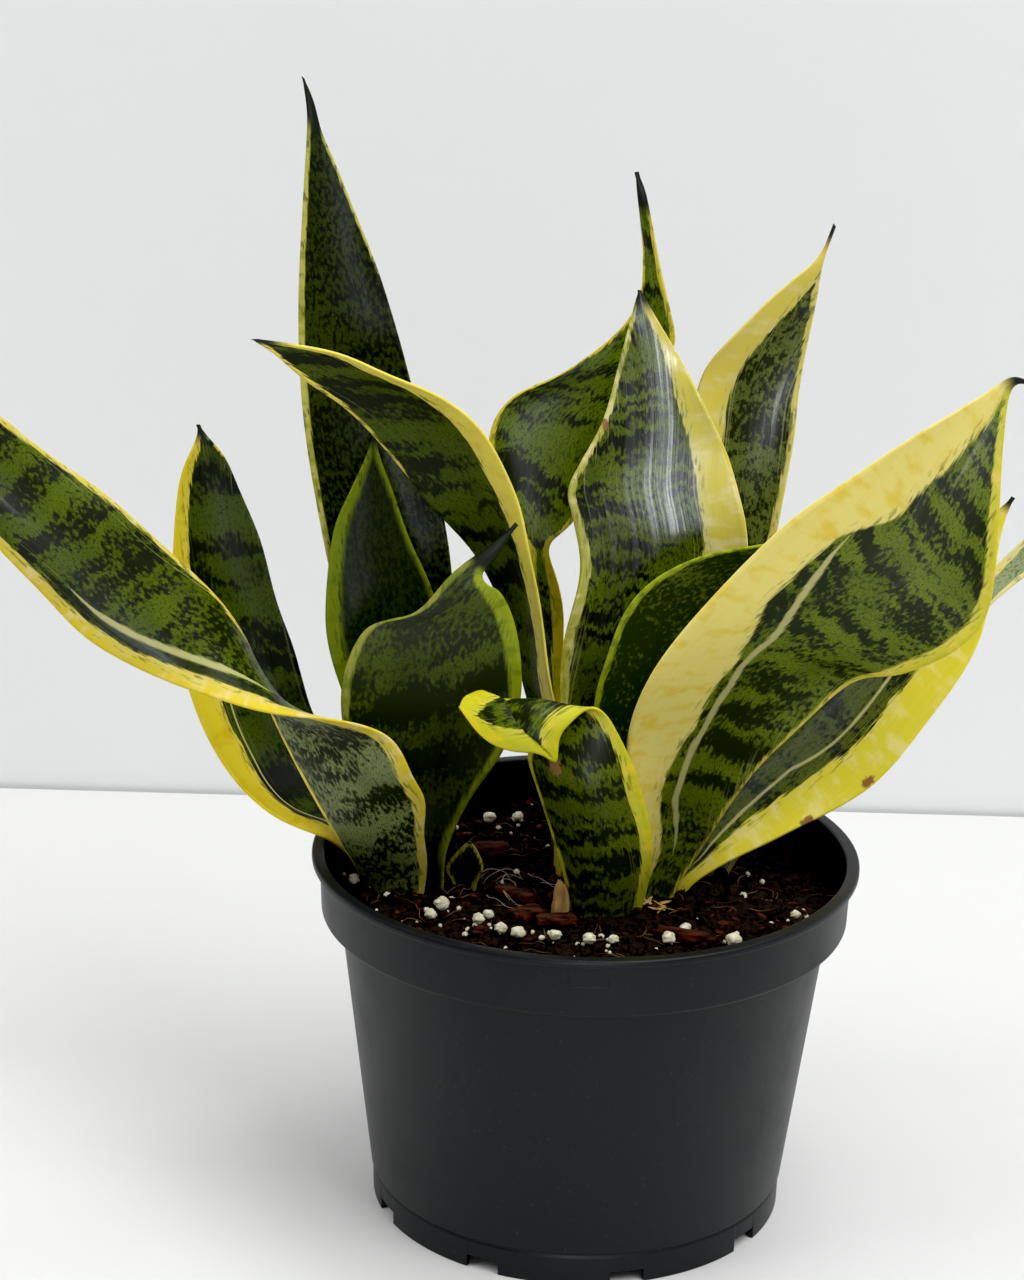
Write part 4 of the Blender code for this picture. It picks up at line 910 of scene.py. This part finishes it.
make_soil(mix)
make_crumbs(crumb)
make_perlite(perlite)
make_bark(bark)
plastic = pot_material()
make_pot(plastic)
make_drain_mix(mix)
mark = [band_point(*corner) for corner in MARK_CORNERS]
strands("pot_mark", list(zip(mark[:-1], mark[1:])), 0.00035, plastic)

random = np.random.default_rng(12)
grains = np.repeat(np.array(PERLITE)[:, :2] * MM, 4, axis=0)
spread_x, spread_y = on_soil(44, 13)
x = np.concatenate([grains[:, 0] + random.normal(0, 0.0065, len(grains)), spread_x])
y = np.concatenate([grains[:, 1] + random.normal(0, 0.0060, len(grains)), spread_y])
inwards = np.minimum(1, 0.074 / np.hypot(x, y))
sizes = MM * random.uniform(0.35, 1.1, (len(x), 1)) * random.uniform(0.8, 1.2, (len(x), 3))
scatter("perlite_bits", x * inwards, y * inwards, 0.0003, sizes, 14, perlite, 5, 7, 0.15)
x, y = on_soil(CHIPS, 15)
sizes = [random.uniform(1.2, 3.6, CHIPS), random.uniform(0.6, 1.4, CHIPS), random.uniform(0.25, 0.6, CHIPS)]
scatter("bark_bits", x, y, 0.0004, MM * np.stack(sizes, axis=-1), 16, bark, 5, 7, 0.12)

lines = []
for x, y in zip(*on_soil(FIBRES, 17, SOIL_RADIUS - 0.010)):
    heading, bend = random.uniform(0, 6.3), random.uniform(-1.2, 1.2)
    lines.append(wandering(x, y, heading, bend / 2, 0.0022, 5,
                           lambda number: 0.0005 + 0.0006 * random.uniform(0, 1)))
strands("soil_fibres", lines, 0.00018, fibre)

x, y = random.uniform(0.010, 0.026, SCRAPS), random.uniform(-0.016, -0.006, SCRAPS)
sizes = [random.uniform(1.6, 3.6, SCRAPS), random.uniform(0.5, 1.2, SCRAPS), np.full(SCRAPS, 0.25)]
scatter("crown_scraps", x, y, 0.0012, MM * np.stack(sizes, axis=-1), 18, papery, 5, 8, 0.2)

lines = []
for _ in range(HAIRS):
    x, y = random.uniform(-0.030, -0.012), random.uniform(-0.008, 0.012)
    lines.append(wandering(
        x, y, random.uniform(0, 6.3), 0.5, 0.0032, 6,
        lambda number: 0.0004 + 0.0035 * math.sin(math.pi * number / 5) * random.uniform(0.4, 1)))
strands("root_hairs", lines, 0.00008, hair)

finishes = {"rhizome_left": root, "rhizome_middle": root, "rhizome_back": root, "rhizome_right": root,
            "dry_sheath": papery}
for name, finish in finishes.items():
    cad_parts[name].data.materials.clear()
    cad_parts[name].data.materials.append(finish)

# ---------------------------------------------------------------- table, wall, light and camera
ROOM = 3
TABLE_FRONT = -0.38
WALL_TURN = 0.0155
TABLE_DEPTH = 0.3249
WALL_GAP = 0.0025
FLOOR_GAP = 0.004


def flat(name, corners, finish):
    made = add_mesh(name, corners, [(0, 1, 2, 3)], finish)
    return made


def beside_wall(x, gap=0.0):
    """How far back the table's end is at x, or something that stands a gap behind it."""
    return TABLE_DEPTH + WALL_TURN * x + gap


def level_piece(name, near, far):
    """A level piece on the table's height between two lines across the room, given by their two ends."""
    corners = [(-ROOM, near[0], 0), (ROOM, near[1], 0), (ROOM, far[1], 0), (-ROOM, far[0], 0)]
    return flat(name, corners, table_finish)


table_finish, _, shader = new_material("table_white")
fill(shader, {"Base Color": (0.79, 0.795, 0.785, 1), "Roughness": 0.7})
wall_finish, tree, shader = new_material("wall_white")
fill(shader, {"Base Color": (0.84, 0.85, 0.86, 1), "Roughness": 0.9})
seen_from_behind = node(tree, "ShaderNodeNewGeometry").outputs["Backfacing"]
clear = node(tree, "ShaderNodeBsdfTransparent")
choice = node(tree, "ShaderNodeMixShader", {0: seen_from_behind, 1: shader.outputs[0], 2: clear.outputs[0]})
fill(tree.nodes["Material Output"], {"Surface": choice.outputs[0]})

level_piece("table", (TABLE_FRONT, TABLE_FRONT), (beside_wall(-ROOM), beside_wall(ROOM)))
left_end, right_end = (-ROOM, beside_wall(-ROOM, WALL_GAP)), (ROOM, beside_wall(ROOM, WALL_GAP))
flat("wall", [(*left_end, -0.05), (*right_end, -0.05), (*right_end, ROOM), (*left_end, ROOM)], wall_finish)
beyond = [level_piece("floor_in_front", (-4, -4), (TABLE_FRONT - 0.001, TABLE_FRONT - 0.001)),
          level_piece("floor_behind", (beside_wall(-ROOM, FLOOR_GAP), beside_wall(ROOM, FLOOR_GAP)), (4, 4))]
for piece in beyond:
    piece.visible_diffuse = piece.visible_glossy = False

world = bpy.data.worlds.new("room")
world.use_nodes = True
seen = node(world.node_tree, "ShaderNodeLightPath").outputs["Is Camera Ray"]
fill(world.node_tree.nodes["Background"], {0: (1.0, 1.0, 0.99, 1), 1: plus(times(seen, 0.5), 0.27)})
bpy.context.scene.world = world


def soft_light(name, place, target, width, height, power, colour=(1, 1, 1)):
    data = bpy.data.lights.new(name, "AREA")
    data.shape, data.size, data.size_y = "RECTANGLE", width, height
    data.energy, data.color = power, colour
    made = add_object(name, data)
    facing = (Vector(place) - Vector(target)).to_track_quat("Z", "Y")
    made.matrix_world = Matrix.Translation(place) @ facing.to_matrix().to_4x4()
    return made


soft_light("key", (0.9, -0.9, 1.7), (0, 0, 0.1), 1.2, 1.2, 24.5)
soft_light("left", (-1.3, -0.5, 1.2), (0, 0, 0.15), 0.9, 0.9, 9.5).visible_glossy = False
soft_light("above", (0.3, 0.1, 1.7), (0, 0, 0.1), 1.2, 0.6, 10)
low = soft_light("low_front", (0.06, -1.2, 0.12), (0, 0, 0.25), 0.16, 0.5, 7, (0.86, 0.93, 1.0))
low.visible_diffuse = False

BLACK_LEVEL = 0.0052
CAMERA_PLACE = (0.0, -0.8509, 0.4585)
CAMERA_PITCH = math.radians(18.236)
CAMERA_YAW = math.radians(-1.594)
CAMERA_ROLL = math.radians(1.36)
lens = bpy.data.cameras.new("camera")
lens.sensor_width, lens.lens = 36, 85.3
camera = add_object("camera", lens)
camera.matrix_world = (
    Matrix.Translation(CAMERA_PLACE) @ Matrix.Rotation(-CAMERA_YAW, 4, "Z")
    @ Matrix.Rotation(math.pi / 2 - CAMERA_PITCH, 4, "X") @ Matrix.Rotation(CAMERA_ROLL, 4, "Z"))
bpy.context.scene.camera = camera
view = bpy.context.scene.view_settings
view.view_transform = "Standard"
view.use_curve_mapping = True
view.curve_mapping.black_level = (BLACK_LEVEL, BLACK_LEVEL, BLACK_LEVEL)
view.curve_mapping.update()
